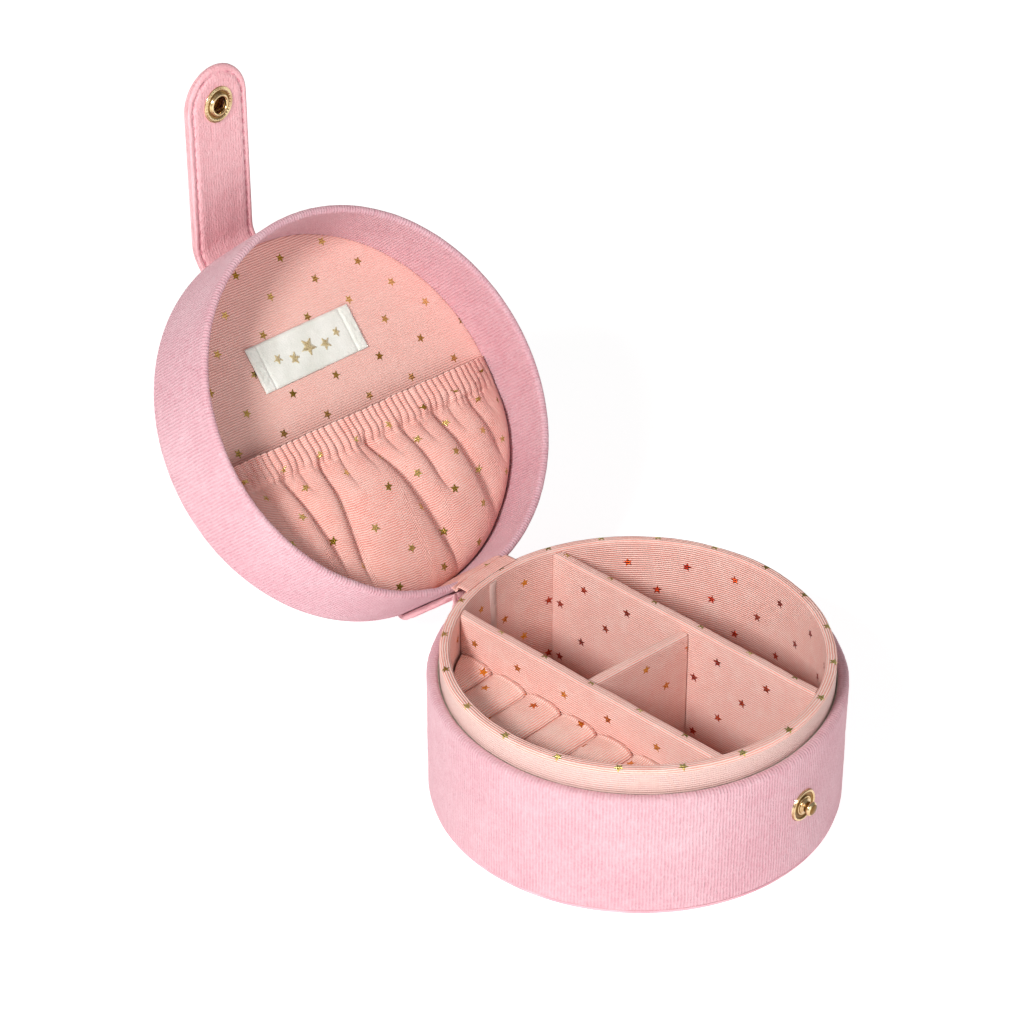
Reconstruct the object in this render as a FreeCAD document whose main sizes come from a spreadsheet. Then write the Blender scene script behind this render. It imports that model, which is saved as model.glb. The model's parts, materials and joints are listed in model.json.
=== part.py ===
"""Round velvet travel jewellery case: a drum-shaped base with a lined insert, a hinged lid
with a gathered pocket, and a snap strap that folds down over the front.

Frame: millimetres, origin at the centre of the base's underside, +Z up, hinge at +Y,
snap stud at -Y. The model stands as it lies open: the lid is tipped back on its stop and
the strap's free flap stands upright. Lid and flap pieces are drawn where they sit in the
closed case and then swung open by their Placement.
"""

import FreeCAD, Part
import os
import re

import Sketcher

SIZES = {
    # base drum
    "base_radius": 50.0,
    "base_height": 33.7,
    "velvet": 1.1,
    "lip": 0.7,
    "wall_inner": 47.0,
    "cover": 1.0,
    "cover_radius": 49.6,
    "bottom_top": 3.0,
    "floor_top": 3.8,
    # collar that the lid closes over
    "collar_radius": 46.8,
    "collar_inner": 44.2,
    "collar_top": 39.7,
    "collar_tuck": 26.0,
    "lining": 0.5,
    # dividers and ring rolls, turned together inside the collar
    "insert_turn": -2.4,
    "insert_radius": 44.1,
    "divider": 2.9,
    "ring_divider": -19.3,
    "far_divider": 15.0,
    "divider_top": 39.0,
    "cross_top": 37.1,
    "cross_shift": -0.1,
    "cross_turn": -5.0,
    "cross_length": 31.2,
    "roll_radius": 5.5,
    "roll_pitch": 11.3,
    "roll_top": 29.5,
    "roll_drum": 44.0,
    "roll_end": -19.7,
    # lid, in its closed place
    "rim": 34.0,
    "lid_top": 58.1,
    "lid_inner": 47.9,
    "lid_velvet": 0.6,
    "lid_liner": 0.4,
    "rim_fold": 0.5,
    "panel_face": 50.6,
    "panel_lining": 51.2,
    "panel_back": 52.8,
    "panel_radius": 47.8,
    "foam_radius": 48.0,
    "foam_top": 56.2,
    "top_board": 57.4,
    # pocket and label on the lid's panel
    "pocket_turn": 4.9,
    "pocket_drum": 46.7,
    "pocket_wall": 1.1,
    "pocket_bulge": 8.0,
    "pocket_half": 58.0,
    "pocket_reach": 30.5,
    "pocket_centre": 17.0,
    "pocket_cloth": 1.0,
    "pocket_band": 7.5,
    "label_length": 34.5,
    "label_width": 12.0,
    "label_thick": 0.5,
    "label_y": -19.6,
    "label_turn": 3.5,
    # lid hinge
    "hinge_y": 50.0,
    "hinge_z": 36.0,
    "open_angle": 131.0,
    "tab_left": -10.2,
    "tab_width": 18.0,
    "tab_thick": 0.65,
    "tab_gap": 0.05,
    # strap
    "strap_width": 20.0,
    "strap_thick": 1.6,
    "strap_foot": 8.0,
    "strap_tail_top": 31.8,
    "strap_lid_foot": 40.2,
    "strap_front": -49.8,
    "strap_skin": 0.8,
    # snap flap, measured outwards from the front wall when it is fastened
    "flap_axis_y": -50.6,
    "flap_axis_z": 58.6,
    "flap_bend": 49.0,
    "flap_root": 38.4,
    "flap_radius": 10.0,
    "flap_inside": 1.05,
    "flap_skin": 0.6,
    "flap_core": 0.8,
    "snap_z": 18.7,
    "post": 1.5,
    "post_hole": 1.6,
    "neck": 1.3,
    "head": 1.75,
    "washer": 4.4,
    "washer_thick": 0.45,
    "rivet": 3.4,
    "rivet_hole": 3.6,
    "rivet_depth": 0.6,
    "socket": 4.65,
    "socket_mouth": 2.1,
    "socket_cavity": 3.2,
    "socket_barrel": 3.7,
    "socket_hole": 3.8,
    "spring": 2.9,
    "spring_wire": 0.13,
    "spring_gap": 1.6,
    "cap": 6.2,
}

ROLLS = 7
TILT_AXIS = FreeCAD.Vector(1, 0, 0)
UP_AXIS = FreeCAD.Vector(0, 0, 1)

doc = FreeCAD.newDocument("jewellery_case")
sheet = doc.addObject("Spreadsheet::Sheet", "Sizes")
for row, (alias, number) in enumerate(SIZES.items(), start=1):
    sheet.set(f"A{row}", alias)
    sheet.set(f"B{row}", str(number))
    sheet.setAlias(f"B{row}", alias)
doc.recompute()

nodes = []


def cell(word):
    """A size word as its cell in the sheet; any other word stays as it is."""
    return "Sizes." + word.group() if word.group() in SIZES else word.group()


def bound(text):
    """The expression text with every size word pointing at its cell in the sheet."""
    return re.sub(r"[a-z_]+", cell, text)


def size(text):
    """The present value of an expression of size words."""
    return float(sheet.evalExpression(bound(text)))


def place(node, placement):
    """Put a finished sub-part in its place and list it for export."""
    node.Placement = placement
    nodes.append(node)
    return node


def set_size(thing, **sizes):
    """Bind each named property to an expression of size words."""
    for name, text in sizes.items():
        thing.setExpression(name, bound(text))


def origin_plane(body, role):
    return next(plane for plane in body.Origin.OriginFeatures if plane.Role == role)


def new_body(label):
    body = doc.addObject("PartDesign::Body", label)
    body.Label = label
    return body


def new_sketch(body, role, offset="0"):
    """A sketch on one of the body's origin planes, moved along the plane's normal."""
    sketch = body.newObject("Sketcher::SketchObject", body.Name + "_sketch")
    sketch.AttachmentSupport = (origin_plane(body, role), [""])
    sketch.MapMode = "FlatFace"
    sketch.setExpression("AttachmentOffset.Base.z", bound(offset))
    return sketch


def fix_point(sketch, line, end, across, up):
    """Tie one end of a sketch line to two expressions measured from the origin."""
    for kind, text in (("DistanceX", across), ("DistanceY", up)):
        index = sketch.addConstraint(Sketcher.Constraint(kind, -1, 1, line, end, size(text)))
        sketch.setExpression(f"Constraints[{index}]", bound(text))


def closed_outline(sketch, points):
    """A closed run of straight lines through the points, each fixed by expressions."""
    spots = [FreeCAD.Vector(size(across), size(up), 0) for across, up in points]
    lines = [
        sketch.addGeometry(Part.LineSegment(start, end))
        for start, end in zip(spots, spots[1:] + spots[:1])
    ]
    for this, following in zip(lines, lines[1:] + lines[:1]):
        sketch.addConstraint(Sketcher.Constraint("Coincident", this, 2, following, 1))
    for line, (across, up) in zip(lines, points):
        fix_point(sketch, line, 1, across, up)


def circle(sketch, across, up, radius):
    """A circle fixed by expressions."""
    centre = FreeCAD.Vector(size(across), size(up), 0)
    ring = sketch.addGeometry(Part.Circle(centre, FreeCAD.Vector(0, 0, 1), size(radius)))
    fix_point(sketch, ring, 3, across, up)
    index = sketch.addConstraint(Sketcher.Constraint("Radius", ring, size(radius)))
    sketch.setExpression(f"Constraints[{index}]", bound(radius))


def turned_body(label, points):
    """A body of revolution about Z from a closed outline of (radius, height) points."""
    body = new_body(label)
    sketch = new_sketch(body, "XZ_Plane")
    closed_outline(sketch, points)
    turn = body.newObject("PartDesign::Revolution", label + "_turn")
    turn.Profile = sketch
    turn.ReferenceAxis = (sketch, ["V_Axis"])
    turn.Angle = 360
    return body


def ring_points(inner, outer, low, high):
    return [(inner, low), (outer, low), (outer, high), (inner, high)]


def front_hole(body, radius, start, depth):
    """Cut a round hole through the front wall at the snap's height, outwards from start."""
    doc.recompute()
    before = body.Shape.Volume
    sketch = new_sketch(body, "XZ_Plane", start)
    circle(sketch, "0", "snap_z", radius)
    pocket = body.newObject("PartDesign::Pocket", body.Name + "_hole")
    pocket.Profile = sketch
    pocket.Reversed = True
    set_size(pocket, Length=depth)
    doc.recompute()
    if body.Shape.Volume >= before:
        raise RuntimeError(f"the hole in {body.Label} cuts nothing")


def box(label, low, high, pose=FreeCAD.Placement()):
    """A box between two corners of (x, y, z) expressions in a frame placed by pose."""
    block = doc.addObject("Part::Box", label)
    spans = [f"({b}) - ({a})" for a, b in zip(low, high)]
    set_size(block, Length=spans[0], Width=spans[1], Height=spans[2])
    corner = FreeCAD.Vector(*(size(text) for text in low))
    block.Placement = pose * FreeCAD.Placement(corner, FreeCAD.Rotation())
    return block


def drum(label, radius, low, high):
    """An upright cylinder on the Z axis between two heights."""
    cylinder = doc.addObject("Part::Cylinder", label)
    set_size(cylinder, Radius=radius, Height=f"({high}) - ({low})")
    cylinder.setExpression("Placement.Base.z", bound(low))
    return cylinder


def joined(kind, label, first, second):
    """One of the booleans Cut, Fuse or Common of two objects."""
    result = doc.addObject("Part::" + kind, label)
    result.Base = first
    result.Tool = second
    result.Label = label
    return result


def arc_plate(label, inner, outer, left, right, low, high):
    """A plate that hugs the drum's back wall, cut from a ring between two X values."""
    ring = joined(
        "Cut",
        label + "_ring",
        drum(label + "_outer", outer, low, high),
        drum(label + "_inner", inner, low, high),
    )
    window = box(label + "_window", (left, "0", low), (right, "base_radius + 10", high))
    return joined("Common", label, ring, window)


here = FreeCAD.Placement()
insert_pose = FreeCAD.Placement(
    FreeCAD.Vector(), FreeCAD.Rotation(UP_AXIS, size("insert_turn"))
)
lid_pose = FreeCAD.Placement(
    FreeCAD.Vector(),
    FreeCAD.Rotation(TILT_AXIS, -size("open_angle")),
    FreeCAD.Vector(0, size("hinge_y"), size("hinge_z")),
)
flap_fold = FreeCAD.Placement(
    FreeCAD.Vector(),
    FreeCAD.Rotation(TILT_AXIS, -size("flap_bend")),
    FreeCAD.Vector(0, size("flap_axis_y"), size("flap_axis_z")),
)
# Snap pieces are drawn about their own axis: local Z points out of the front wall,
# local Y points up, and local height 0 is the wall's surface.
snap_pose = FreeCAD.Placement(
    FreeCAD.Vector(0, -size("base_radius"), size("snap_z")), FreeCAD.Rotation(TILT_AXIS, 90)
)
flap_pose = lid_pose * flap_fold * snap_pose


# ---- base drum -------------------------------------------------------------------

board_outer = "base_radius - velvet"
lip_low = "base_height - lip"

cover = turned_body("base_bottom_cover", ring_points("0", "cover_radius", "0", "cover"))
place(cover, here)
bottom = turned_body("base_bottom_board", ring_points("0", "wall_inner", "cover", "bottom_top"))
place(bottom, here)
floor = turned_body("base_floor_lining", ring_points("0", "wall_inner", "bottom_top", "floor_top"))
place(floor, here)

wall_board = turned_body(
    "base_wall_board", ring_points("wall_inner", board_outer, "cover", lip_low)
)
front_hole(wall_board, "post_hole", "0", "base_radius")
front_hole(wall_board, "rivet_hole", "0", "wall_inner + rivet_depth")
place(wall_board, here)

# The velvet covers the board's outside and folds over its top edge.
wall_velvet = turned_body(
    "base_velvet_wall",
    [
        (board_outer, "cover"),
        ("base_radius", "cover"),
        ("base_radius", "base_height"),
        ("wall_inner", "base_height"),
        ("wall_inner", lip_low),
        (board_outer, lip_low),
    ],
)
front_hole(wall_velvet, "post_hole", "0", "base_radius + 1")
place(wall_velvet, here)

# ---- collar ----------------------------------------------------------------------

collar_in = "collar_inner + lining"
collar_out = "collar_radius - lining"
collar_board_top = "collar_top - lining"
collar_board = turned_body(
    "collar_board", ring_points(collar_in, collar_out, "floor_top", collar_board_top)
)
place(collar_board, here)
# The lining runs up the inside, over the rim and a short way down the outside.
collar_lining = turned_body(
    "collar_lining",
    [
        ("collar_inner", "floor_top"),
        (collar_in, "floor_top"),
        (collar_in, collar_board_top),
        (collar_out, collar_board_top),
        (collar_out, "collar_tuck"),
        ("collar_radius", "collar_tuck"),
        ("collar_radius", "collar_top"),
        ("collar_inner", "collar_top"),
    ],
)
place(collar_lining, here)

# ---- dividers: a board core in a folded lining -------------------------------------


def long_divider(name, left):
    """A divider along Y, its ends following the collar, as a core and its lining."""
    low, high = "floor_top", "divider_top"
    right = f"{left} + divider"
    reach = "insert_radius"
    whole = joined(
        "Common",
        name + "_whole",
        box(name + "_block", (left, f"-{reach}", low), (right, reach, high)),
        drum(name + "_drum", reach, low, high),
    )
    core = joined(
        "Common",
        name + "_core",
        box(
            name + "_core_block",
            (f"{left} + lining", f"-{reach}", low),
            (f"{right} - lining", reach, f"{high} - lining"),
        ),
        drum(name + "_core_drum", f"{reach} - lining", low, f"{high} - lining"),
    )
    whole.Placement = insert_pose
    place(core, insert_pose)
    place(joined("Cut", name + "_lining", whole, core), here)


long_divider("ring_divider", "ring_divider")
long_divider("far_divider", "far_divider")

cross_pose = insert_pose * FreeCAD.Placement(
    FreeCAD.Vector(size("(ring_divider + divider + far_divider) / 2"), size("cross_shift"), 0),
    FreeCAD.Rotation(UP_AXIS, size("cross_turn")),
)
half_span = "cross_length / 2"
half_thick = "divider / 2"
cross_whole = box(
    "cross_whole",
    (f"-{half_span}", f"-{half_thick}", "floor_top"),
    (half_span, half_thick, "cross_top"),
    cross_pose,
)
cross_core = box(
    "cross_divider_core",
    (f"-{half_span} + lining", f"-{half_thick} + lining", "floor_top"),
    (f"{half_span} - lining", f"{half_thick} - lining", "cross_top - lining"),
    cross_pose,
)
nodes.append(cross_core)
place(joined("Cut", "cross_divider_lining", cross_whole, cross_core), here)

# ---- ring rolls: soft round-topped bars side by side -------------------------------

for number in range(ROLLS):
    name = f"ring_roll_{number + 1}"
    middle = f"roll_pitch * {number - ROLLS // 2}"
    shoulder = "roll_top - roll_radius"
    block = box(
        name + "_block",
        ("-roll_drum", f"{middle} - roll_radius", "floor_top"),
        ("roll_end", f"{middle} + roll_radius", shoulder),
    )
    crown = doc.addObject("Part::Cylinder", name + "_crown")
    set_size(crown, Radius="roll_radius", Height="roll_end + roll_drum")
    crown.Placement = FreeCAD.Placement(
        FreeCAD.Vector(-size("roll_drum"), size(middle), size(shoulder)),
        FreeCAD.Rotation(FreeCAD.Vector(0, 1, 0), 90),
    )
    bar = joined("Fuse", name + "_bar", block, crown)
    roll = joined("Common", name, bar, drum(name + "_drum", "roll_drum", "floor_top", "roll_top"))
    place(roll, insert_pose)

# ---- lid ---------------------------------------------------------------------------

lid_board_outer = "base_radius - lid_velvet"
lid_board_inner = "lid_inner + lid_liner"
place(
    turned_body(
        "lid_wall_board",
        ring_points(lid_board_inner, lid_board_outer, "rim + rim_fold", "foam_top"),
    ),
    lid_pose,
)
# One velvet wrap: up the outside, round the rim and up the inside to the panel.
place(
    turned_body(
        "lid_velvet_wall",
        [
            ("lid_inner", "rim"),
            ("base_radius", "rim"),
            ("base_radius", "top_board"),
            (lid_board_outer, "top_board"),
            (lid_board_outer, "rim + rim_fold"),
            (lid_board_inner, "rim + rim_fold"),
            (lid_board_inner, "panel_face"),
            ("lid_inner", "panel_face"),
        ],
    ),
    lid_pose,
)
for name, radius, low, high in (
    ("lid_top_board", lid_board_outer, "foam_top", "top_board"),
    ("lid_top_velvet", "base_radius", "top_board", "lid_top"),
    ("lid_foam", "foam_radius", "panel_back", "foam_top"),
    ("lid_panel_board", "foam_radius", "panel_lining", "panel_back"),
    ("lid_panel_lining", "panel_radius", "panel_face", "panel_lining"),
):
    place(turned_body(name, ring_points("0", radius, low, high)), lid_pose)

# ---- gathered pocket and label ------------------------------------------------------

panel_turn = FreeCAD.Placement(FreeCAD.Vector(), FreeCAD.Rotation(UP_AXIS, size("pocket_turn")))


def bulge(label, shrink):
    """The domed space of the pocket, smaller by shrink all round."""
    dome = doc.addObject("Part::Ellipsoid", label)
    set_size(
        dome,
        Radius1=f"pocket_bulge - {shrink}",
        Radius2=f"pocket_half - {shrink}",
        Radius3=f"pocket_reach - {shrink}",
    )
    dome.Placement = FreeCAD.Placement(
        FreeCAD.Vector(0, size("pocket_centre"), size("panel_face")), FreeCAD.Rotation()
    )
    return dome


pocket_low = "panel_face - pocket_bulge - 1"
pocket_skin = joined(
    "Common",
    "pocket_skin",
    bulge("pocket_dome", "0"),
    drum("pocket_drum_outer", "pocket_drum", pocket_low, "panel_face - tab_gap"),
)
pocket_space = joined(
    "Common",
    "pocket_space",
    bulge("pocket_hollow", "pocket_cloth"),
    drum("pocket_drum_inner", "pocket_drum - pocket_wall", pocket_low, "panel_face"),
)
pocket_shell = joined("Cut", "pocket_shell", pocket_skin, pocket_space)
for name, start, end in (
    ("pocket_elastic_band", "0", "pocket_band"),
    ("pocket_fabric", "pocket_band", "base_radius"),
):
    strip = box(
        name + "_strip", ("-base_radius", start, pocket_low), ("base_radius", end, "panel_face")
    )
    place(joined("Common", name, pocket_shell, strip), lid_pose * panel_turn)

label_top = "panel_face - tab_gap"
label_pose = lid_pose * FreeCAD.Placement(
    FreeCAD.Vector(0, size("label_y"), 0), FreeCAD.Rotation(UP_AXIS, size("label_turn"))
)
label = box(
    "label",
    ("-label_length / 2", "-label_width / 2", f"{label_top} - label_thick"),
    ("label_length / 2", "label_width / 2", label_top),
    label_pose,
)
nodes.append(label)

# ---- fabric hinge --------------------------------------------------------------------

tab_right = "tab_left + tab_width"
tab_face = "lid_inner - tab_gap"
tab_on_lid = arc_plate(
    "hinge_tab_lid",
    f"{tab_face} - tab_thick",
    tab_face,
    "tab_left",
    tab_right,
    "hinge_z",
    "panel_face - 2 * tab_gap",
)
place(tab_on_lid, lid_pose)

# The lining tab bridges from the collar's top edge to the open lid's rim.
tab = new_body("hinge_tab")
tab_sketch = new_sketch(tab, "XY_Plane", "collar_top - tab_thick / 3")
bridge_front = "collar_radius + 2 * tab_gap"
bridge_back = "hinge_y - strap_skin"
closed_outline(
    tab_sketch,
    [
        ("tab_left", bridge_front),
        (tab_right, bridge_front),
        (tab_right, bridge_back),
        ("tab_left", bridge_back),
    ],
)
tab_pad = tab.newObject("PartDesign::Pad", "hinge_tab_pad")
tab_pad.Profile = tab_sketch
set_size(tab_pad, Length="tab_thick")
place(tab, here)

# ---- strap: tail on the base, fold at the hinge, run over the lid -----------------------

half_strap = "strap_width / 2"
strap_outer = "base_radius + strap_thick"
tail = arc_plate(
    "strap_tail",
    "base_radius",
    strap_outer,
    f"-{half_strap}",
    half_strap,
    "strap_foot",
    "strap_tail_top",
)
place(tail, here)

lid_run = joined(
    "Common",
    "strap_lid_run",
    box(
        "strap_lid_slab",
        (f"-{half_strap}", "strap_front", "lid_top"),
        (half_strap, strap_outer, "lid_top + strap_thick"),
    ),
    drum("strap_lid_drum", strap_outer, "lid_top", "lid_top + strap_thick"),
)
lid_back = arc_plate(
    "strap_lid_back",
    "base_radius",
    strap_outer,
    f"-{half_strap}",
    half_strap,
    "strap_lid_foot",
    "lid_top + strap_thick",
)
place(joined("Fuse", "strap_lid", lid_run, lid_back), lid_pose)

# In the open case the strap's hinge stretch lies in the wedge between the two walls:
# up the base's wall, then back down along the lid's wall. Corners as (Y, Z) steps from
# the hinge axis, worked out from the wedge's two faces.
near = "2 * tab_gap"
lean = "(180 - open_angle)"
half_wedge = f"({lean} / 2 * 1 deg)"
reach = "strap_lid_foot - hinge_z - 6 * tab_gap"
skin_far = f"({near} + strap_skin)"


def along_lid(run, offset):
    """A (Y, Z) point at a run down the open lid's wall and an offset out from it."""
    angle = f"({lean} * 1 deg)"
    across = f"hinge_y + ({run}) * sin({angle}) - ({offset}) * cos({angle})"
    up = f"hinge_z - ({run}) * cos({angle}) - ({offset}) * sin({angle})"
    return across, up


fold = new_body("strap_hinge")
fold_sketch = new_sketch(fold, "YZ_Plane", f"-{half_strap}")
closed_outline(
    fold_sketch,
    [
        (f"hinge_y + {near}", "strap_tail_top + 4 * tab_gap"),
        (f"hinge_y + {near}", f"hinge_z - {near} / tan({half_wedge})"),
        along_lid(reach, near),
        along_lid(reach, skin_far),
        (f"hinge_y + {skin_far}", f"hinge_z - {skin_far} / tan({half_wedge})"),
        (f"hinge_y + {skin_far}", "strap_tail_top + 4 * tab_gap"),
    ],
)
fold_pad = fold.newObject("PartDesign::Pad", "strap_hinge_pad")
fold_pad.Profile = fold_sketch
set_size(fold_pad, Length="strap_width")
place(fold, here)

# ---- snap stud on the base ---------------------------------------------------------------

wall_depth = "base_radius - wall_inner"
rivet_top = f"rivet_depth - ({wall_depth})"
rivet_low = f"0.1 - ({wall_depth})"
stud = turned_body(
    "snap_stud",
    [
        ("0", rivet_low),
        ("post", rivet_low),
        ("post", "washer_thick"),
        ("neck", "washer_thick"),
        ("neck", "washer_thick + 1.3"),
        ("head", "washer_thick + 1.5"),
        ("head", "washer_thick + 2.2"),
        ("head - 0.6", "washer_thick + 2.65"),
        ("0", "washer_thick + 2.65"),
    ],
)
place(stud, snap_pose)
washer = turned_body(
    "stud_washer",
    [
        ("post", "0"),
        ("washer", "0"),
        ("washer", "washer_thick / 2"),
        ("washer - 0.4", "washer_thick"),
        ("post", "washer_thick"),
    ],
)
place(washer, snap_pose)
place(turned_body("stud_rivet", ring_points("post", "rivet", rivet_low, rivet_top)), snap_pose)

# ---- strap flap and snap socket -------------------------------------------------------------


def flap_layer(label, low, thickness):
    """One layer of the flap: straight sides, a round tip about the snap, and its hole."""
    body = new_body(label)
    sketch = new_sketch(body, "XY_Plane", low)
    radius = size("flap_radius")
    root = size("flap_root")
    corners = [
        FreeCAD.Vector(radius, 0, 0),
        FreeCAD.Vector(radius, root, 0),
        FreeCAD.Vector(-radius, root, 0),
        FreeCAD.Vector(-radius, 0, 0),
    ]
    sides = [
        sketch.addGeometry(Part.LineSegment(start, end))
        for start, end in zip(corners, corners[1:])
    ]
    tip = sketch.addGeometry(
        Part.Arc(corners[-1], FreeCAD.Vector(0, -radius, 0), corners[0])
    )
    fix_point(sketch, sides[0], 1, "flap_radius", "0")
    fix_point(sketch, sides[1], 1, "flap_radius", "flap_root")
    fix_point(sketch, sides[2], 1, "-flap_radius", "flap_root")
    fix_point(sketch, sides[2], 2, "-flap_radius", "0")
    sketch.addConstraint(Sketcher.Constraint("Coincident", sides[0], 2, sides[1], 1))
    sketch.addConstraint(Sketcher.Constraint("Coincident", sides[1], 2, sides[2], 1))
    sketch.addConstraint(Sketcher.Constraint("Coincident", tip, 1, sides[2], 2))
    sketch.addConstraint(Sketcher.Constraint("Coincident", tip, 2, sides[0], 1))
    sketch.addConstraint(Sketcher.Constraint("PointOnObject", tip, 3, -1))
    circle(sketch, "0", "0", "socket_hole")
    pad = body.newObject("PartDesign::Pad", label + "_pad")
    pad.Profile = sketch
    set_size(pad, Length=thickness)
    return place(body, flap_pose)


core_low = "flap_inside + flap_skin"
outer_low = f"{core_low} + flap_core"
flap_outside = f"{outer_low} + flap_skin"
flap_layer("flap_inner_velvet", "flap_inside", "flap_skin")
flap_layer("flap_core", core_low, "flap_core")
flap_layer("flap_outer_velvet", outer_low, "flap_skin")

socket_face = "flap_inside - 0.3"
socket = turned_body(
    "snap_socket",
    [
        ("socket_mouth", socket_face),
        ("socket - 0.3", socket_face),
        ("socket", "flap_inside"),
        ("socket_barrel", "flap_inside"),
        ("socket_barrel", f"{outer_low} + 0.45"),
        ("socket_cavity", f"{outer_low} + 0.45"),
        ("socket_cavity", "flap_inside"),
        ("socket_mouth", "flap_inside"),
    ],
)
place(socket, flap_pose)

cap_pieces = [
    ("0", f"{flap_outside} + 0.6"),
    ("socket_barrel - 0.7", f"{flap_outside} + 0.6"),
    ("socket_barrel - 0.7", flap_outside),
    ("cap", flap_outside),
    ("cap", f"{flap_outside} + 0.3"),
    ("cap - 0.7", f"{flap_outside} + 0.9"),
    ("cap - 2.4", f"{flap_outside} + 1.3"),
    ("0", f"{flap_outside} + 1.4"),
]
place(turned_body("snap_cap", cap_pieces), flap_pose)

spring_ring = doc.addObject("Part::Torus", "spring_ring")
set_size(spring_ring, Radius1="spring", Radius2="spring_wire")
spring_parts = spring_ring
for side, name in ((-1, "left"), (1, "right")):
    prong = doc.addObject("Part::Cylinder", f"spring_prong_{name}")
    half_chord = size("sqrt(spring * spring - spring_gap * spring_gap)")
    set_size(prong, Radius="spring_wire")
    prong.Height = 2 * half_chord
    prong.Placement = FreeCAD.Placement(
        FreeCAD.Vector(-half_chord, side * size("spring_gap"), 0),
        FreeCAD.Rotation(FreeCAD.Vector(0, 1, 0), 90),
    )
    spring_parts = joined("Fuse", f"snap_spring_{name}", spring_parts, prong)
spring_parts.Label = "snap_spring"
spring_height = FreeCAD.Placement(
    FreeCAD.Vector(0, 0, size("flap_inside + spring_wire + 0.02")), FreeCAD.Rotation()
)
place(spring_parts, flap_pose * spring_height)

# ---- write each sub-part -----------------------------------------------------------------------

doc.recompute()
for thing in doc.Objects:
    if "Invalid" in thing.State or "Error" in thing.State:
        raise RuntimeError(f"{thing.Label} did not recompute: {thing.State}")

os.makedirs("parts", exist_ok=True)
for node in nodes:
    shape = node.Shape
    if shape.isNull() or not shape.isValid() or shape.Volume <= 0:
        raise RuntimeError(f"{node.Label} has no valid solid")
    shape.exportStep(f"parts/{node.Label}.step")
    bounds = shape.BoundBox
    print(
        f"{node.Label:22s} {shape.Volume / 1000:8.3f} cm3  {len(shape.Solids)} solid  "
        f"x {bounds.XMin:7.2f} {bounds.XMax:7.2f}  y {bounds.YMin:7.2f} {bounds.YMax:7.2f}  "
        f"z {bounds.ZMin:7.2f} {bounds.ZMax:7.2f}"
    )
print(len(nodes), "sub-parts")
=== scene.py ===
"""The looks of a round velvet jewellery case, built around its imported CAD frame.

Lengths in this script are millimetres until a mesh is made, when MM turns them into the
row's metres. Lid pieces are drawn as in the closed case and swung open by LID. The flap is
drawn upright, as it is stored. Cloth carries a map named "cloth", in millimetres of cloth.
"""

import json
import math

import bmesh
import bpy
import numpy as np
from mathutils import Matrix, Vector, noise


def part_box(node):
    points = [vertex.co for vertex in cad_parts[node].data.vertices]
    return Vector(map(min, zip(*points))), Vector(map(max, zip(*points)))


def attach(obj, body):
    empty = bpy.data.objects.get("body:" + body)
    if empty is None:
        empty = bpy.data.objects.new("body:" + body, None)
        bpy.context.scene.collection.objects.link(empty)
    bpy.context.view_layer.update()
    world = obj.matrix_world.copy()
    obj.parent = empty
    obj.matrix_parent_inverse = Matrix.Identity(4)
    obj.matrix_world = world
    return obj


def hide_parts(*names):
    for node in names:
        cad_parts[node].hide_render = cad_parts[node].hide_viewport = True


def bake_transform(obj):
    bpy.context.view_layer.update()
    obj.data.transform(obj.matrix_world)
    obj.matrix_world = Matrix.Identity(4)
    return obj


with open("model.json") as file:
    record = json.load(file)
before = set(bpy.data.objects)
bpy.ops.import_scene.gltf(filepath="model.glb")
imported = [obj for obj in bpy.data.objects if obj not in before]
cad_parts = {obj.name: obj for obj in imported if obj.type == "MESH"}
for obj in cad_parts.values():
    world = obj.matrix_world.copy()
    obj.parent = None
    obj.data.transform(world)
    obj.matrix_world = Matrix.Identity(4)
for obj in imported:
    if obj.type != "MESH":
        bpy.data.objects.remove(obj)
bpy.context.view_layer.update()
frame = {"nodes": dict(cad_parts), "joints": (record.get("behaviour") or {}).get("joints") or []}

MM = 0.001
CLOTH_MAP = "cloth"


def node_mm(name):
    """A CAD node's lowest and highest corners in millimetres."""
    low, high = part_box(name)
    return low / MM, high / MM


# ---- driving sizes, read from the frame where it holds them ----------------------------

BASE_RADIUS = node_mm("base_velvet_wall")[1].x
BASE_TOP = node_mm("base_velvet_wall")[1].z
WALL_FOOT = node_mm("base_velvet_wall")[0].z
COVER_RADIUS = node_mm("base_bottom_cover")[1].x
COLLAR_RADIUS = node_mm("collar_lining")[1].x
COLLAR_TOP = node_mm("collar_lining")[1].z
COLLAR_TUCK = 26.0
COLLAR_INNER = COLLAR_RADIUS - 2.6
FLOOR_LOW, FLOOR_TOP = (corner.z for corner in node_mm("base_floor_lining"))
INSERT_TURN = math.radians(-2.4)
INSERT_RADIUS = 44.1
DIVIDER = 2.9
RING_DIVIDER_LEFT = -19.3
FAR_DIVIDER_LEFT = 15.0
DIVIDER_TOP = node_mm("ring_divider_lining")[1].z
CROSS_TOP = node_mm("cross_divider_lining")[1].z
CROSS_LENGTH = 31.2
CROSS_TURN = math.radians(-5.0)
CROSS_SHIFT = -0.1
ROLLS = 7
ROLL_PITCH = 11.3
ROLL_TOP = node_mm("ring_roll_4")[1].z
ROLL_END = -19.35
ROLL_CROWN = 3.2
ROLL_SQUARENESS = 2.7

RIM = 34.0
LID_TOP = 58.1
TOP_BOARD = 57.4
LID_INNER = 47.9
PANEL_FACE = 50.6
PANEL_RADIUS = 48.05
POCKET_TURN = math.radians(4.9)
POCKET_RADIUS = 47.5
POCKET_BAND = 7.5

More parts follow.
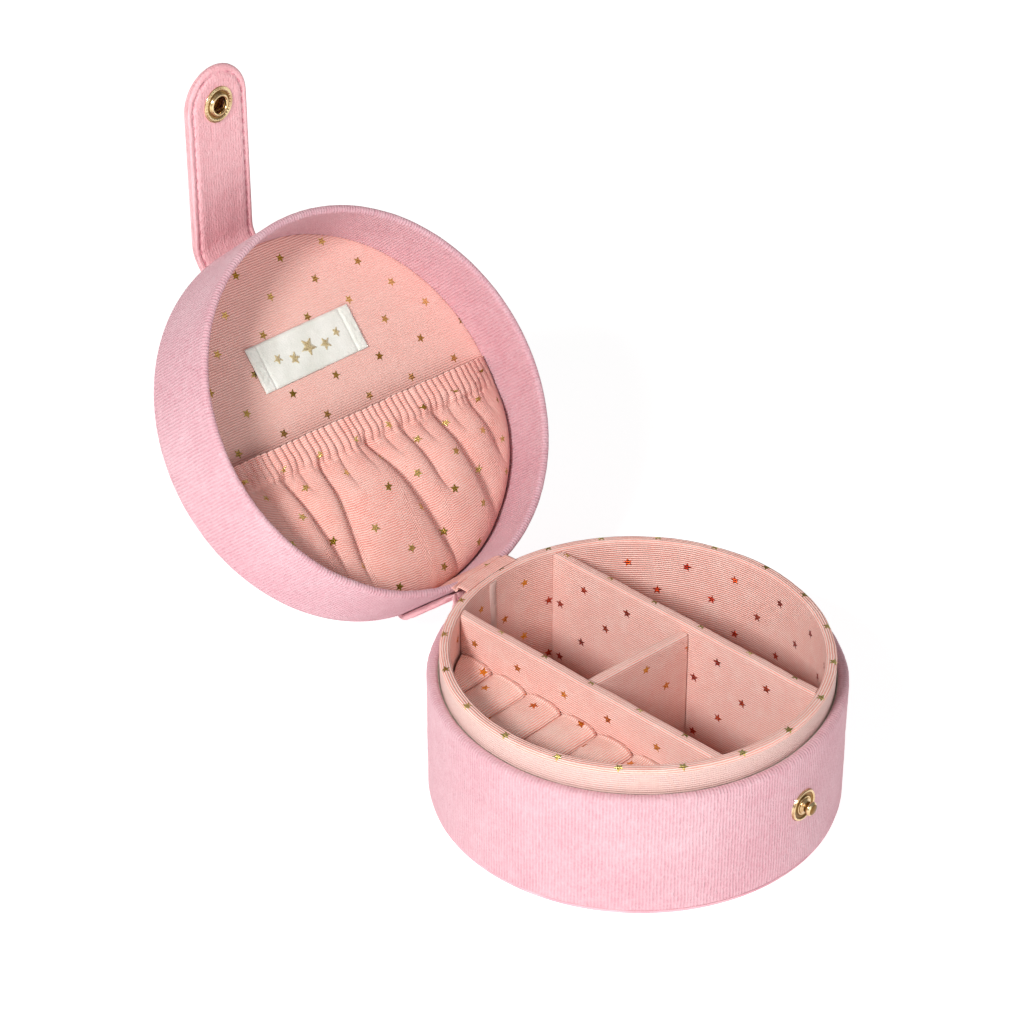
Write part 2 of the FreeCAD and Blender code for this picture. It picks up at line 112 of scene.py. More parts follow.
HINGE = Vector(frame["joints"][0]["pos_m"]) / MM
OPEN_ANGLE = math.radians(abs(frame["joints"][0]["range_deg"][0]))
STRAP_HALF = node_mm("strap_tail")[1].x
STRAP_THICK = 1.6
FLAP_LOW, FLAP_HIGH = node_mm("flap_core")
FLAP_THICK = 2.0
TAB_LEFT = node_mm("hinge_tab")[0].x
TAB_RIGHT = node_mm("hinge_tab")[1].x
SNAP_HEIGHT = (node_mm("snap_stud")[0].z + node_mm("snap_stud")[1].z) / 2

LID = (
    Matrix.Translation(HINGE)
    @ Matrix.Rotation(-OPEN_ANGLE, 4, "X")
    @ Matrix.Translation(-HINGE)
)
PANEL = LID @ Matrix.Rotation(POCKET_TURN, 4, "Z")
INSERT = Matrix.Rotation(INSERT_TURN, 4, "Z")

VELVET_WALE = 0.8
LINING_RIB = 0.6
STAR_SIZE = 2.85
STAR_PITCH = (14.6, 16.0)


def colour(red, green, blue):
    """An 8-bit sRGB colour as the linear RGBA that shaders use."""
    linear = [
        c / 255 / 12.92 if c <= 10 else ((c / 255 + 0.055) / 1.055) ** 2.4
        for c in (red, green, blue)
    ]
    return (*linear, 1.0)


# ---- mesh helpers -----------------------------------------------------------------------


def make_mesh(name, points, faces, cloth=None, material=None, pose=None):
    """A smooth mesh from millimetre points; cloth holds each point's place on the cloth."""
    points = np.asarray(points, float)
    if pose is not None:
        turn = np.array(pose)
        points = points @ turn[:3, :3].T + turn[:3, 3]
    mesh = bpy.data.meshes.new(name)
    mesh.from_pydata((points * MM).tolist(), [], [tuple(int(i) for i in f) for f in faces])
    if cloth is not None:
        layer = mesh.uv_layers.new(name=CLOTH_MAP)
        corners = np.zeros(len(mesh.loops), np.int32)
        mesh.loops.foreach_get("vertex_index", corners)
        layer.data.foreach_set("uv", np.asarray(cloth, np.float32)[corners].ravel())
    mesh.shade_smooth()
    mesh.update()
    piece = bpy.data.objects.new(name, mesh)
    bpy.context.scene.collection.objects.link(piece)
    if material is not None:
        mesh.materials.append(material)
    return piece


def grid_faces(rows, columns, wrap_rows=False, wrap_columns=False, first=0):
    """Quads of a grid whose points run row by row."""
    faces = []
    for i in range(rows if wrap_rows else rows - 1):
        for j in range(columns if wrap_columns else columns - 1):
            a = first + i * columns + j
            b = first + i * columns + (j + 1) % columns
            c = first + ((i + 1) % rows) * columns + (j + 1) % columns
            d = first + ((i + 1) % rows) * columns + j
            faces.append((a, b, c, d))
    return faces


def facing(y, z, degrees):
    """A pose at (0, y, z) with its Z axis turned about X: 90 looks forward, -90 back."""
    return Matrix.Translation((0, y, z)) @ Matrix.Rotation(math.radians(degrees), 4, "X")


def outline_length(points):
    """Running length along a line of points."""
    steps = np.linalg.norm(np.diff(np.asarray(points, float), axis=0), axis=1)
    return np.concatenate([[0.0], np.cumsum(steps)])


def resample(points, step):
    """The same line with points about step apart, its corners kept."""
    points = np.asarray(points, float)
    out = [points[0]]
    for start, end in zip(points, points[1:]):
        count = max(1, int(round(np.linalg.norm(end - start) / step)))
        out += [start + (end - start) * k / count for k in range(1, count + 1)]
    return np.array(out)


def arc(centre, radius, start, end, count=8):
    """Points of an arc in the profile plane, angles in degrees."""
    angles = np.radians(np.linspace(start, end, count))
    return [(centre[0] + radius * math.cos(a), centre[1] + radius * math.sin(a)) for a in angles]


def smooth(value):
    """An easy rise from 0 to 1 as the value goes from 0 to 1."""
    value = min(1.0, max(0.0, value))
    return value * value * (3 - 2 * value)


def ripple(point, scale, seed):
    """Smooth noise from -1 to 1 at a point, with features about scale mm wide."""
    return noise.noise(Vector(point) / scale + Vector((seed, seed * 0.37, -seed)))


def on_ring(radius, angle, height=0.0):
    """The point at an angle about Z, counted from the back and clockwise from above."""
    return radius * math.sin(angle), radius * math.cos(angle), height


def lathe(name, profile, material, turns=360, pose=None, shape=None, closed=True):
    """A ring of the (radius, height) profile about Z. shape(radius, height, angle) may move a
    point. The cloth map runs round the ring and along the profile."""
    profile = np.asarray(profile, float)
    run = outline_length(profile)
    reach = profile[:, 0].max()
    rows, columns = len(profile), turns + 1
    points, cloth = [], []
    for (radius, height), along in zip(profile, run):
        for k in range(columns):
            angle = 2 * math.pi * k / turns
            r, z = (radius, height) if shape is None else shape(radius, height, angle % (2 * math.pi))
            points.append(on_ring(r, angle, z))
            cloth.append((reach * angle, along))
    faces = grid_faces(rows, columns, wrap_rows=closed)
    piece = make_mesh(name, points, faces, cloth, material, pose)
    weld(piece)
    return piece


def weld(piece, distance=1e-6):
    """Join points that lie on each other, keeping the cloth map of each corner."""
    work = bmesh.new()
    work.from_mesh(piece.data)
    bmesh.ops.remove_doubles(work, verts=work.verts, dist=distance)
    bmesh.ops.dissolve_degenerate(work, edges=work.edges, dist=distance)
    bmesh.ops.recalc_face_normals(work, faces=work.faces)
    work.to_mesh(piece.data)
    work.free()
    piece.data.shade_smooth()


def flat_map(piece, pose, turn=0.0):
    """Lay the cloth map flat across a disc that was drawn in the pose given."""
    back = pose.inverted()
    c, s = math.cos(turn), math.sin(turn)
    mesh = piece.data
    layer = mesh.uv_layers[CLOTH_MAP]
    for loop in mesh.loops:
        spot = back @ (mesh.vertices[loop.vertex_index].co / MM)
        layer.data[loop.index].uv = (spot.x * c + spot.y * s, spot.y * c - spot.x * s)


def flip_outwards(piece):
    """Turn an open sheet's faces so that, taken together, they look up."""
    mesh = piece.data
    if sum(f.normal.z * f.area for f in mesh.polygons) < 0:
        mesh.flip_normals()


def thicken(piece, thickness, offset=-1.0):
    """Give an open sheet a real thickness; offset -1 puts it behind the drawn face, 0 astride."""
    solid = piece.modifiers.new("cloth_thickness", "SOLIDIFY")
    solid.thickness = thickness * MM
    solid.offset = offset


def apply_modifiers(piece):
    """Replace the piece's mesh with its modified one."""
    graph = bpy.context.evaluated_depsgraph_get()
    final = bpy.data.meshes.new_from_object(piece.evaluated_get(graph))
    piece.modifiers.clear()
    piece.data = final


def tube(points, radius, sides=6):
    """Points and faces of a round thread along a line, its ends drawn together."""
    points = np.asarray(points, float)
    ahead = np.gradient(points, axis=0)
    ahead /= np.linalg.norm(ahead, axis=1)[:, None]
    helper = np.array([0.0, 0.0, 1.0])
    if abs(ahead[len(ahead) // 2] @ helper) > 0.9:
        helper = np.array([0.0, 1.0, 0.0])
    side = np.cross(ahead, helper)
    side /= np.linalg.norm(side, axis=1)[:, None]
    lift = np.cross(side, ahead)
    ends = np.sin(np.linspace(0.12, math.pi - 0.12, len(points))) ** 0.35
    around = 2 * math.pi * np.arange(sides) / sides
    out = [
        p + radius * e * (math.cos(a) * s + math.sin(a) * u)
        for p, s, u, e in zip(points, side, lift, ends)
        for a in around
    ]
    faces = grid_faces(len(points), sides, wrap_columns=True)
    last = (len(points) - 1) * sides
    faces.append(tuple(range(sides - 1, -1, -1)))
    faces.append(tuple(range(last, last + sides)))
    return out, faces


def threads(name, lines, radius, material, pose=None):
    """One piece made of many short threads."""
    points, faces = [], []
    for line in lines:
        spots, skins = tube(line, radius)
        faces += [tuple(i + len(points) for i in f) for f in skins]
        points += spots
    cloth = [(p[0], p[2]) for p in points]
    return make_mesh(name, points, faces, cloth, material, pose)


# ---- shader helpers -----------------------------------------------------------------------


class Shader:
    """A material whose nodes are added by short calls."""

    def __init__(self, name, **settings):
        self.material = bpy.data.materials.new(name)
        self.material.use_nodes = True
        self.tree = self.material.node_tree
        self.surface = self.tree.nodes["Principled BSDF"]
        for socket, value in settings.items():
            self.surface.inputs[socket.replace("_", " ")].default_value = value

    def node(self, kind, *links, **settings):
        """A node with its inputs linked or set in order; None leaves one alone."""
        made = self.tree.nodes.new("ShaderNode" + kind)
        for key, value in settings.items():
            setattr(made, key, value)
        for socket, value in zip(made.inputs, links):
            self.feed(socket, value)
        return made

    def feed(self, socket, value):
        """Link a node's output into a socket, or set a plain value there."""
        if isinstance(value, bpy.types.NodeSocket):
            self.tree.links.new(value, socket)
        elif value is not None:
            socket.default_value = value

    def math(self, operation, *values):
        return self.node("Math", *values, operation=operation).outputs[0]

    def times(self, first, second):
        return self.math("MULTIPLY", first, second)

    def plus(self, first, second):
        return self.math("ADD", first, second)

    def minus(self, first, second):
        return self.math("SUBTRACT", first, second)

    def mix(self, share, first, second):
        """A colour between first and second."""
        made = self.node("Mix", data_type="RGBA")
        self.feed(made.inputs["Factor"], share)
        self.feed(made.inputs["A"], first)
        self.feed(made.inputs["B"], second)
        return made.outputs["Result"]

    def cloth_place(self):
        """The cloth map's two millimetre coordinates."""
        place = self.node("UVMap", uv_map=CLOTH_MAP).outputs[0]
        parts = self.node("SeparateXYZ", place)
        return parts.outputs[0], parts.outputs[1]

    def noise(self, scale, detail=2.0, where=None, rough=0.55):
        """Noise from 0 to 1; scale counts features per unit of the given place."""
        made = self.node("TexNoise")
        made.inputs["Scale"].default_value = scale
        made.inputs["Detail"].default_value = detail
        made.inputs["Roughness"].default_value = rough
        if where is None:
            where = self.node("TexCoord").outputs["Object"]
        self.feed(made.inputs["Vector"], where)
        return made.outputs[0]

    def stretch(self, value, low, high, new_low=0.0, new_high=1.0):
        """The value with its low-to-high range stretched to the new one, and clamped."""
        return self.node("MapRange", value, low, high, new_low, new_high).outputs[0]

    def bump(self, height, distance, strength=1.0, under=None):
        """A bump distance millimetres high, over the one under it."""
        made = self.node("Bump")
        made.inputs["Strength"].default_value = strength
        made.inputs["Distance"].default_value = distance * MM
        self.feed(made.inputs["Height"], height)
        if under is not None:
            self.feed(made.inputs["Normal"], under)
        return made.outputs[0]

    def wave(self, place, pitch, wander=None, sway=0.0):
        """A ridge pattern from 0 to 1 along one coordinate, with a little sway."""
        if wander is not None:
            place = self.plus(place, self.times(wander, sway))
        turned = self.times(place, 2 * math.pi / pitch)
        return self.math("MULTIPLY_ADD", self.math("SINE", turned), 0.5, 0.5)

    def set(self, socket, value):
        self.feed(self.surface.inputs[socket], value)


def velvet_material(name, pale, deep, shade, wale_depth=1.0):
    """Fine-ribbed velvet: wales along the cloth's second coordinate, a brushed nap."""
    made = Shader(name, Sheen_Weight=0.32, Sheen_Roughness=0.35, Specular_IOR_Level=0.12)
    made.set("Sheen Tint", colour(255, 228, 232))
    across, along = made.cloth_place()
    drift = made.noise(180.0, 2.0)
    wales = made.wave(across, VELVET_WALE, drift, 0.45)
    strokes = made.node("CombineXYZ", made.times(across, 0.9), made.times(along, 0.42), 0.0)
    brushed = made.noise(1.0, 3.0, strokes.outputs[0], 0.7)
    pile = made.noise(1700.0, 2.0, rough=0.75)
    patches = made.noise(38.0, 2.0)
    nap = made.math("MULTIPLY_ADD", brushed, 0.7, made.times(patches, 0.5))
    tone = made.mix(made.stretch(nap, 0.38, 0.84), deep, pale)
    # Painted shade: the furrows between the wales darken towards the shade colour, more in some places than
    # others.
    furrow_shade = made.times(made.minus(1.0, wales), made.stretch(drift, 0.3, 0.7, 0.25, 0.6))
    ribbed = made.mix(made.times(furrow_shade, wale_depth), tone, shade)
    fleck = made.stretch(pile, 0.42, 0.72, 0.0, 0.42)
    made.set("Base Color", made.mix(fleck, ribbed, pale))
    made.set("Roughness", made.stretch(brushed, 0.3, 0.7, 0.82, 0.96))
    rough_nap = made.bump(pile, 0.3, 0.9)
    soft_nap = made.bump(brushed, 0.4, 0.5, rough_nap)
    made.set("Normal", made.bump(wales, 0.11 * wale_depth, 0.8, soft_nap))
    return made.material


def star_shape(made, across, along):
    """A mask of small five-pointed stars in staggered rows, and each star's own number."""
    wide, tall = STAR_PITCH
    masks, numbers = [], []
    for shift in (0.0, 0.5):
        u = made.plus(made.math("DIVIDE", across, wide), shift + 0.31)
        v = made.plus(made.math("DIVIDE", along, tall), shift + 0.17)
        cell_u, cell_v = made.math("FLOOR", u), made.math("FLOOR", v)
        x = made.times(made.minus(made.math("FRACT", u), 0.5), wide)
        y = made.times(made.minus(made.math("FRACT", v), 0.5), tall)
        key = made.node("CombineXYZ", cell_u, cell_v, shift * 7.0).outputs[0]
        dice = made.node("TexWhiteNoise", noise_dimensions="3D")
        made.feed(dice.inputs["Vector"], key)
        number = dice.outputs["Value"]
        x = made.plus(x, made.times(made.minus(number, 0.5), 1.1))
        radius = made.math("SQRT", made.plus(made.times(x, x), made.times(y, y)))
        tilt = made.times(made.minus(number, 0.5), 0.5)
        angle = made.plus(made.math("ARCTAN2", x, y), tilt)
        slice_of = made.plus(made.math("DIVIDE", angle, 2 * math.pi / 5), 10.5)
        fold = made.math("ABSOLUTE", made.minus(made.math("FRACT", slice_of), 0.5))
        wedge = made.times(fold, 2 * math.pi / 5)
        # One straight edge of the star runs from its tip to its inner corner.
        tip, inner, half = STAR_SIZE / 2, STAR_SIZE / 2 * 0.45, math.pi / 5
        edge_x, edge_y = inner * math.cos(half) - tip, inner * math.sin(half)
        px = made.minus(made.times(radius, made.math("COSINE", wedge)), tip)
        py = made.times(radius, made.math("SINE", wedge))
        side = made.minus(made.times(px, edge_y), made.times(py, edge_x))
        masks.append(made.stretch(side, 0.0, -0.06))
        numbers.append(number)
    mask = made.math("MAXIMUM", *masks)
    number = made.plus(made.times(masks[0], numbers[0]), made.times(masks[1], numbers[1]))
    return mask, number


def lining_material(name, pale, deep, foil=None, rim=None, groove_shade=1.15):
    """Ribbed lining: fine ribs across the cloth's second coordinate, printed foil stars.
    rim holds (from, to, foil): between those places along the cloth the foil differs."""
    made = Shader(name, Sheen_Weight=0.12, Sheen_Roughness=0.4, Specular_IOR_Level=0.25)
    made.set("Sheen Tint", colour(255, 236, 230))
    across, along = made.cloth_place()
    drift = made.noise(220.0, 2.0)
    ridge = made.wave(along, LINING_RIB, drift, 0.3)
    threads_across = made.wave(across, 0.41, drift, 0.3)
    fibre = made.noise(1800.0, 2.0, rough=0.65)
    # Painted shade: the grooves between the ribs darken towards the deep colour, by an amount set per
    # material and varied at random.
    groove = made.times(made.minus(1.0, ridge), groove_shade)
    uneven = made.times(groove, made.stretch(drift, 0.3, 0.7, 0.7, 1.2))
    cloth = made.mix(uneven, pale, deep)
    cloth = made.mix(made.stretch(fibre, 0.35, 0.72, 0.0, 0.2), cloth, colour(255, 240, 234))
    weave = made.math("MULTIPLY_ADD", threads_across, 0.22, ridge)
    normal = made.bump(weave, 0.2, 0.9, made.bump(fibre, 0.1, 0.4))
    dull = made.stretch(fibre, 0.3, 0.7, 0.72, 0.92)
    if foil is None:
        made.set("Base Color", cloth)
        made.set("Roughness", dull)
        made.set("Normal", normal)
        return made.material
    mask, number = star_shape(made, across, along)
    # Each star's tone between its foil's dim and bright ends, picked at random, is painted glint; the orange
    # and copper foils also carry painted reflection of the pink lining.
    leaf = made.mix(number, *foil)
    if rim is not None:
        start, end, rim_foil = rim
        inside = made.times(made.math("GREATER_THAN", along, start), made.math("LESS_THAN", along, end))
        leaf = made.mix(inside, leaf, made.mix(number, *rim_foil))
    made.set("Base Color", made.mix(mask, cloth, leaf))
    made.set("Metallic", mask)
    worn = made.stretch(fibre, 0.3, 0.7, 0.2, 0.38)
    rough = made.node("Mix", data_type="FLOAT")
    for socket, value in (("Factor", mask), ("A", dull), ("B", worn)):
        made.feed(rough.inputs[socket], value)
    made.set("Roughness", rough.outputs[0])
    made.set("Normal", made.bump(mask, 0.08, 0.6, normal))
    return made.material


def gold_material(name, tone, deep, rough=0.16):
    """Polished gold plate with faint marks and patches of tarnish."""
    made = Shader(name, Metallic=1.0)
    marks = made.noise(900.0, 4.0)
    stain = made.noise(260.0, 3.0)
    made.set("Base Color", made.mix(made.stretch(stain, 0.42, 0.75), tone, deep))
    made.set("Roughness", made.stretch(marks, 0.3, 0.7, rough, rough + 0.14))
    made.set("Normal", made.bump(marks, 0.02, 0.3))
    return made.material


def thread_material(name, pale, deep, shine=0.4):
    """Twisted sewing thread."""
    made = Shader(name, Sheen_Weight=shine, Roughness=0.7)
    twist = made.noise(2600.0, 2.0)
    made.set("Base Color", made.mix(made.stretch(twist, 0.35, 0.65), deep, pale))
    made.set("Normal", made.bump(twist, 0.06, 0.7))
    return made.material


def plain_cloth_material(name, pale, deep, thread=0.32, sheen=0.2):
    """A fine plain weave, over and under in both directions."""
    made = Shader(name, Sheen_Weight=sheen)
    across, along = made.cloth_place()
    warp, weft = made.wave(across, thread), made.wave(along, thread)
    weave = made.times(warp, weft)
    fibre = made.noise(1500.0, 2.0)
    cloud = made.noise(120.0, 3.0)
    tone = made.mix(made.stretch(cloud, 0.35, 0.7), deep, pale)
    made.set("Base Color", made.mix(made.times(weave, 0.35), tone, pale))
    made.set("Roughness", made.stretch(fibre, 0.3, 0.7, 0.75, 0.95))
    made.set("Normal", made.bump(weave, 0.08, 0.7, made.bump(fibre, 0.1, 0.5)))
    return made.material


def board_material(name, pale, deep, scale=500.0, depth=0.12):
    """Pressed board or foam: speckled, matt and slightly pitted."""
    made = Shader(name)
    grain = made.noise(scale, 4.0, rough=0.7)
    made.set("Base Color", made.mix(made.stretch(grain, 0.35, 0.65), deep, pale))
    made.set("Roughness", made.stretch(grain, 0.3, 0.7, 0.8, 0.98))
    made.set("Normal", made.bump(grain, depth, 0.8))
    return made.material


# Each velvet's third colour is painted shade for the furrows between its wales.
VELVET = velvet_material(
    "pale_pink_velvet", colour(226, 192, 199), colour(211, 156, 167), colour(193, 125, 139)
)
STRAP_VELVET = velvet_material(
    "strap_velvet", colour(247, 202, 206), colour(236, 168, 175), colour(216, 140, 151), 0.3
)
# The lining's pale colour, and its deep colour, which is painted shade in the grooves between the ribs.
LINING_PALE = colour(255, 228, 218)
LINING_DEEP = colour(240, 154, 138)
# Each foil is a dim and a bright tone; every star takes its tone between them at random, and that spread is
# painted glint.
GOLD_FOIL = (colour(160, 132, 36), colour(255, 230, 146))
ORANGE_REFLECTION_FOIL = (colour(206, 100, 22), colour(250, 176, 66))
COPPER_REFLECTION_FOIL = (colour(150, 26, 14), colour(206, 74, 30))
# Painted shade and bounce light: the lid's lining is a darker, redder copy of the base lining's colours, for
# the shade inside the open lid.
LID_SHADED_PALE = colour(255, 208, 196)
LID_SHADED_DEEP = colour(238, 132, 116)
LINING = lining_material("starred_lining", LID_SHADED_PALE, LID_SHADED_DEEP, GOLD_FOIL, groove_shade=0.8)
PANEL_LINING = lining_material("panel_lining", LID_SHADED_PALE, LID_SHADED_DEEP, GOLD_FOIL, groove_shade=0.35)

# Where the stars turn gold along the cloth: over the collar's rim, and on the dividers' tops.
COLLAR_RIM = (34.6, 60.0, GOLD_FOIL)
DIVIDER_RIM = (34.0, 38.4, GOLD_FOIL)
# Painted reflection: the orange and copper foil on the collar's walls, the floor, the dividers' sides and the
# rolls stands for the pink lining reflected in the gold stars.
COLLAR_LINING, NEAR_COLLAR_LINING, DIVIDER_LINING, FAR_LINING = (
    lining_material(name, LINING_PALE, LINING_DEEP, foil, rim)
    for name, foil, rim in (
        ("collar_lining_cloth", COPPER_REFLECTION_FOIL, COLLAR_RIM),
        ("near_collar_lining", ORANGE_REFLECTION_FOIL, COLLAR_RIM),
        ("divider_lining_cloth", ORANGE_REFLECTION_FOIL, DIVIDER_RIM),
        ("far_lane_lining", COPPER_REFLECTION_FOIL, DIVIDER_RIM),
    )
)
ROLL_LINING = lining_material(
    "roll_lining_cloth", colour(255, 228, 216), LINING_DEEP, ORANGE_REFLECTION_FOIL, groove_shade=0.95
)
PLAIN_LINING = lining_material(
    "plain_lining", colour(230, 194, 186), colour(212, 162, 152), groove_shade=0.25
)
JOIN_LINING = lining_material(
    "join_lining", colour(255, 222, 212), colour(244, 182, 168), groove_shade=0.3
)
GOLD = gold_material("gold_plate", colour(232, 208, 162), colour(176, 132, 84))
DARK_GOLD = gold_material("worn_gold_plate", colour(150, 112, 62), colour(62, 38, 20), 0.3)
PINK_THREAD = thread_material("pink_thread", colour(240, 172, 184), colour(206, 116, 136))
GOLD_THREAD = thread_material("gold_thread", colour(226, 208, 150), colour(166, 140, 82), 0.6)
LABEL_CLOTH = plain_cloth_material("label_cloth", colour(244, 247, 240), colour(222, 226, 216))
COVER_CLOTH = plain_cloth_material("cover_cloth", colour(232, 186, 194), colour(214, 156, 168), 0.5)
BOARD = board_material("grey_board", colour(176, 166, 152), colour(140, 130, 116))
FOAM = board_material("open_cell_foam", colour(244, 240, 232), colour(220, 214, 202), 900.0, 0.3)

# The CAD nodes that stay as they are, inside the case's cloth and metal.
BOARDS = ("base_bottom_board", "base_wall_board", "collar_board", "ring_divider_core")
BOARDS += ("far_divider_core", "cross_divider_core", "lid_wall_board", "lid_top_board")
BOARDS += ("lid_panel_board",)
kept_nodes = dict.fromkeys(BOARDS, BOARD)
kept_nodes.update({"lid_foam": FOAM, "stud_rivet": DARK_GOLD, "snap_spring": DARK_GOLD})
for node, material in kept_nodes.items():
    holder = frame["nodes"][node]
    holder.data.materials.clear()
    holder.data.materials.append(material)


def carry(piece, body, slot, *stands_for):
    """Ride a piece on its body, in place of the CAD nodes named. slot is not used."""
    if stands_for:
        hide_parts(*stands_for)
    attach(piece, body)


# ---- base ----------------------------------------------------------------------------------


def velvet_surface(depth, seed):
    """A lathe shape that makes a velvet skin slightly lumpy, with a nap at its surface."""

    def shape(radius, height, angle):
        spot = on_ring(radius, angle, height)
        push = depth * ripple(spot, 9.0, seed) + depth * 0.5 * ripple(spot, 1.7, seed + 5)
        fade = min(1.0, max(0.0, (height - WALL_FOOT) / 3))
        return radius + push * fade, height + 0.6 * push * fade

    return shape


def build_base_velvet():
    """The wall's velvet: from under the foot up the outside and over a soft rolled rim."""
    rim = 1.35
    outside = BASE_RADIUS - 0.12
    inside = 47.1
    profile = [(48.9, WALL_FOOT), *arc((outside - 0.6, WALL_FOOT + 0.6), 0.6, -90, 0, 5)]
    profile += [(outside, BASE_TOP - rim), *arc((outside - rim, BASE_TOP - rim - 0.1), rim, 8, 90, 9)]
    profile += arc((inside + 1.1, BASE_TOP - 1.2), 1.1, 90, 180, 8)
    profile += [(inside, BASE_TOP - 4.0), (48.9, BASE_TOP - 4.0)]
    piece = lathe(
        "base_velvet", resample(profile, 0.62), VELVET, 620, shape=velvet_surface(0.14, 3.1)
    )
    carry(piece, "base", "velvet", "base_velvet_wall")


def build_foot_cover():
    """The cloth cover under the base, its edge a thin rolled line below the velvet."""
    edge = 0.45
    profile = [(0.0, 0.0), *arc((COVER_RADIUS - edge, edge), edge, -90, 90, 9)]
    profile += [(48.5, WALL_FOOT - 0.02), (0.0, WALL_FOOT - 0.02)]
    piece = lathe("foot_cover", resample(profile, 1.6), COVER_CLOTH, 240)
    carry(piece, "base", "cover_cloth", "base_bottom_cover")


def collar_shape(radius, height, angle):
    """The collar's cloth, with a slightly wandering rim."""
    spot = on_ring(radius, angle, height)
    near_top = max(0.0, 1 - (COLLAR_TOP - height) / 8)
    wander = near_top * 0.28 * ripple(on_ring(radius, angle), 15.0, 8.2)
    pucker = near_top * 0.07 * ripple(spot, 1.6, 2.3)
    return radius + 0.5 * wander * (1 if radius > 45.5 else -0.2) + pucker, height + 0.5 * wander


def build_collar_cloth():
    """Lining glued up the collar's inside, over its rim and down the outside."""
    middle = (COLLAR_INNER + COLLAR_RADIUS) / 2
    half = (COLLAR_RADIUS - COLLAR_INNER) / 2
    bend = half * 0.62
    profile = [(COLLAR_INNER, FLOOR_TOP + 0.1)]
    profile += arc((middle - half + bend, COLLAR_TOP - bend), bend, 180, 90, 9)
    profile += arc((middle + half - bend, COLLAR_TOP - bend), bend, 90, 0, 9)
    profile += [(COLLAR_RADIUS, COLLAR_TUCK)]
    piece = lathe(
        "collar_cloth", resample(profile, 0.5), COLLAR_LINING, 480, shape=collar_shape, closed=False
    )
    piece.data.materials.append(PLAIN_LINING)
    piece.data.materials.append(NEAR_COLLAR_LINING)
    plain, near = 1, 2
    for face in piece.data.polygons:
        spot = face.center / MM
        outside = math.hypot(spot.x, spot.y) > COLLAR_RADIUS - 0.35
        if outside and spot.z < COLLAR_TOP - 1.1:
            face.material_index = plain
        elif spot.x < FAR_DIVIDER_LEFT:
            face.material_index = near
    flip_outwards(piece)
    thicken(piece, 0.42)
    carry(piece, "base", "lining", "collar_lining")


def build_floor_cloth():
    """The compartments' floor, slightly uneven over its glue and card."""
    profile = [(0.0, FLOOR_TOP), (COLLAR_INNER + 1.5, FLOOR_TOP - 0.05)]
    profile += [(COLLAR_INNER + 2.0, FLOOR_LOW + 0.1), (0.0, FLOOR_LOW + 0.1)]

    def shape(radius, height, angle):
        lift = 0.12 * ripple(on_ring(radius, angle), 12.0, 4.4)
        return radius, height - abs(lift) if height > FLOOR_LOW + 0.3 else height

    piece = lathe("floor_cloth", resample(profile, 1.5), DIVIDER_LINING, 160, shape=shape)
    flat_map(piece, Matrix.Identity(4))
    carry(piece, "base", "lining", "base_floor_lining")


def divider_section(top, thick):
    """Half-width and height along a divider's section: up one side, over, down the other."""
    bend = thick * 0.27
    half = thick / 2
    points = [(-half, FLOOR_TOP + 0.05)]
    points += arc((-half + bend, top - bend), bend, 180, 90, 7)
    points += arc((half - bend, top - bend), bend, 90, 0, 7)
    points += [(half, FLOOR_TOP + 0.05)]
    return resample(points, 0.55)


def build_divider(name, node, material, top, reach, pose, seed):
    """Lining folded over a divider board. reach(across) is the half-length there."""
    section = divider_section(top, DIVIDER)
    run = outline_length(section)
    columns = 160
    points, cloth = [], []
    for (across, height), along in zip(section, run):
        half = reach(across)
        for k in range(columns):
            place = half * (2 * k / (columns - 1) - 1)
            lift = max(0.0, 1 - (top - height) / 10)
            lump = ripple((place, across * 0.3, height * 0.3), 11.0, seed)
            fine = ripple((place, across, height), 1.8, seed + 2)
            swell = 1 + 0.05 * lump * lift
            points.append(
                (across * swell, place, height + lift * (0.22 * lump + 0.05 * fine))
            )
            cloth.append((place + seed * 3, along))
    piece = make_mesh(name, points, grid_faces(len(section), columns), cloth, material, pose)
    flip_outwards(piece)
    thicken(piece, 0.4)
    carry(piece, "base", "lining", node)
    length = 2 * reach(0.0)


def build_dividers():
    for name, left, material, seed in (
        ("ring_divider", RING_DIVIDER_LEFT, DIVIDER_LINING, 1.3),
        ("far_divider", FAR_DIVIDER_LEFT, FAR_LINING, 2.6),
    ):
        centre = left + DIVIDER / 2

        def reach(across, centre=centre):
            return math.sqrt(INSERT_RADIUS**2 - (centre + across) ** 2) - 0.05

        pose = INSERT @ Matrix.Translation((centre, 0, 0))
        build_divider(name + "_cloth", name + "_lining", material, DIVIDER_TOP, reach, pose, seed)
    centre = (RING_DIVIDER_LEFT + DIVIDER + FAR_DIVIDER_LEFT) / 2
    pose = (
        INSERT
        @ Matrix.Translation((centre, CROSS_SHIFT, 0))
        @ Matrix.Rotation(CROSS_TURN + math.pi / 2, 4, "Z")
    )
    build_divider(
        "cross_divider_cloth",
        "cross_divider_lining",
        DIVIDER_LINING,
        CROSS_TOP,
        lambda across: CROSS_LENGTH / 2 - 0.03,
        pose,
        3.9,
    )


def roll_section(half, top):
    """A roll's soft section, from the foot of one side over the crown to the other."""
    shoulder = top - ROLL_CROWN
    power = 2 / ROLL_SQUARENESS
    points = [(-half + 0.25, FLOOR_TOP + 0.3), (-half, shoulder - 6)]
    for angle in np.linspace(math.pi, 0, 33):
        c, s = math.cos(angle), math.sin(angle)
        across = math.copysign(abs(c) ** power, c) * half
        points.append((across, shoulder + ROLL_CROWN * abs(s) ** power))
    points += [(half, shoulder - 6), (half - 0.25, FLOOR_TOP + 0.3)]
    return np.array(points)


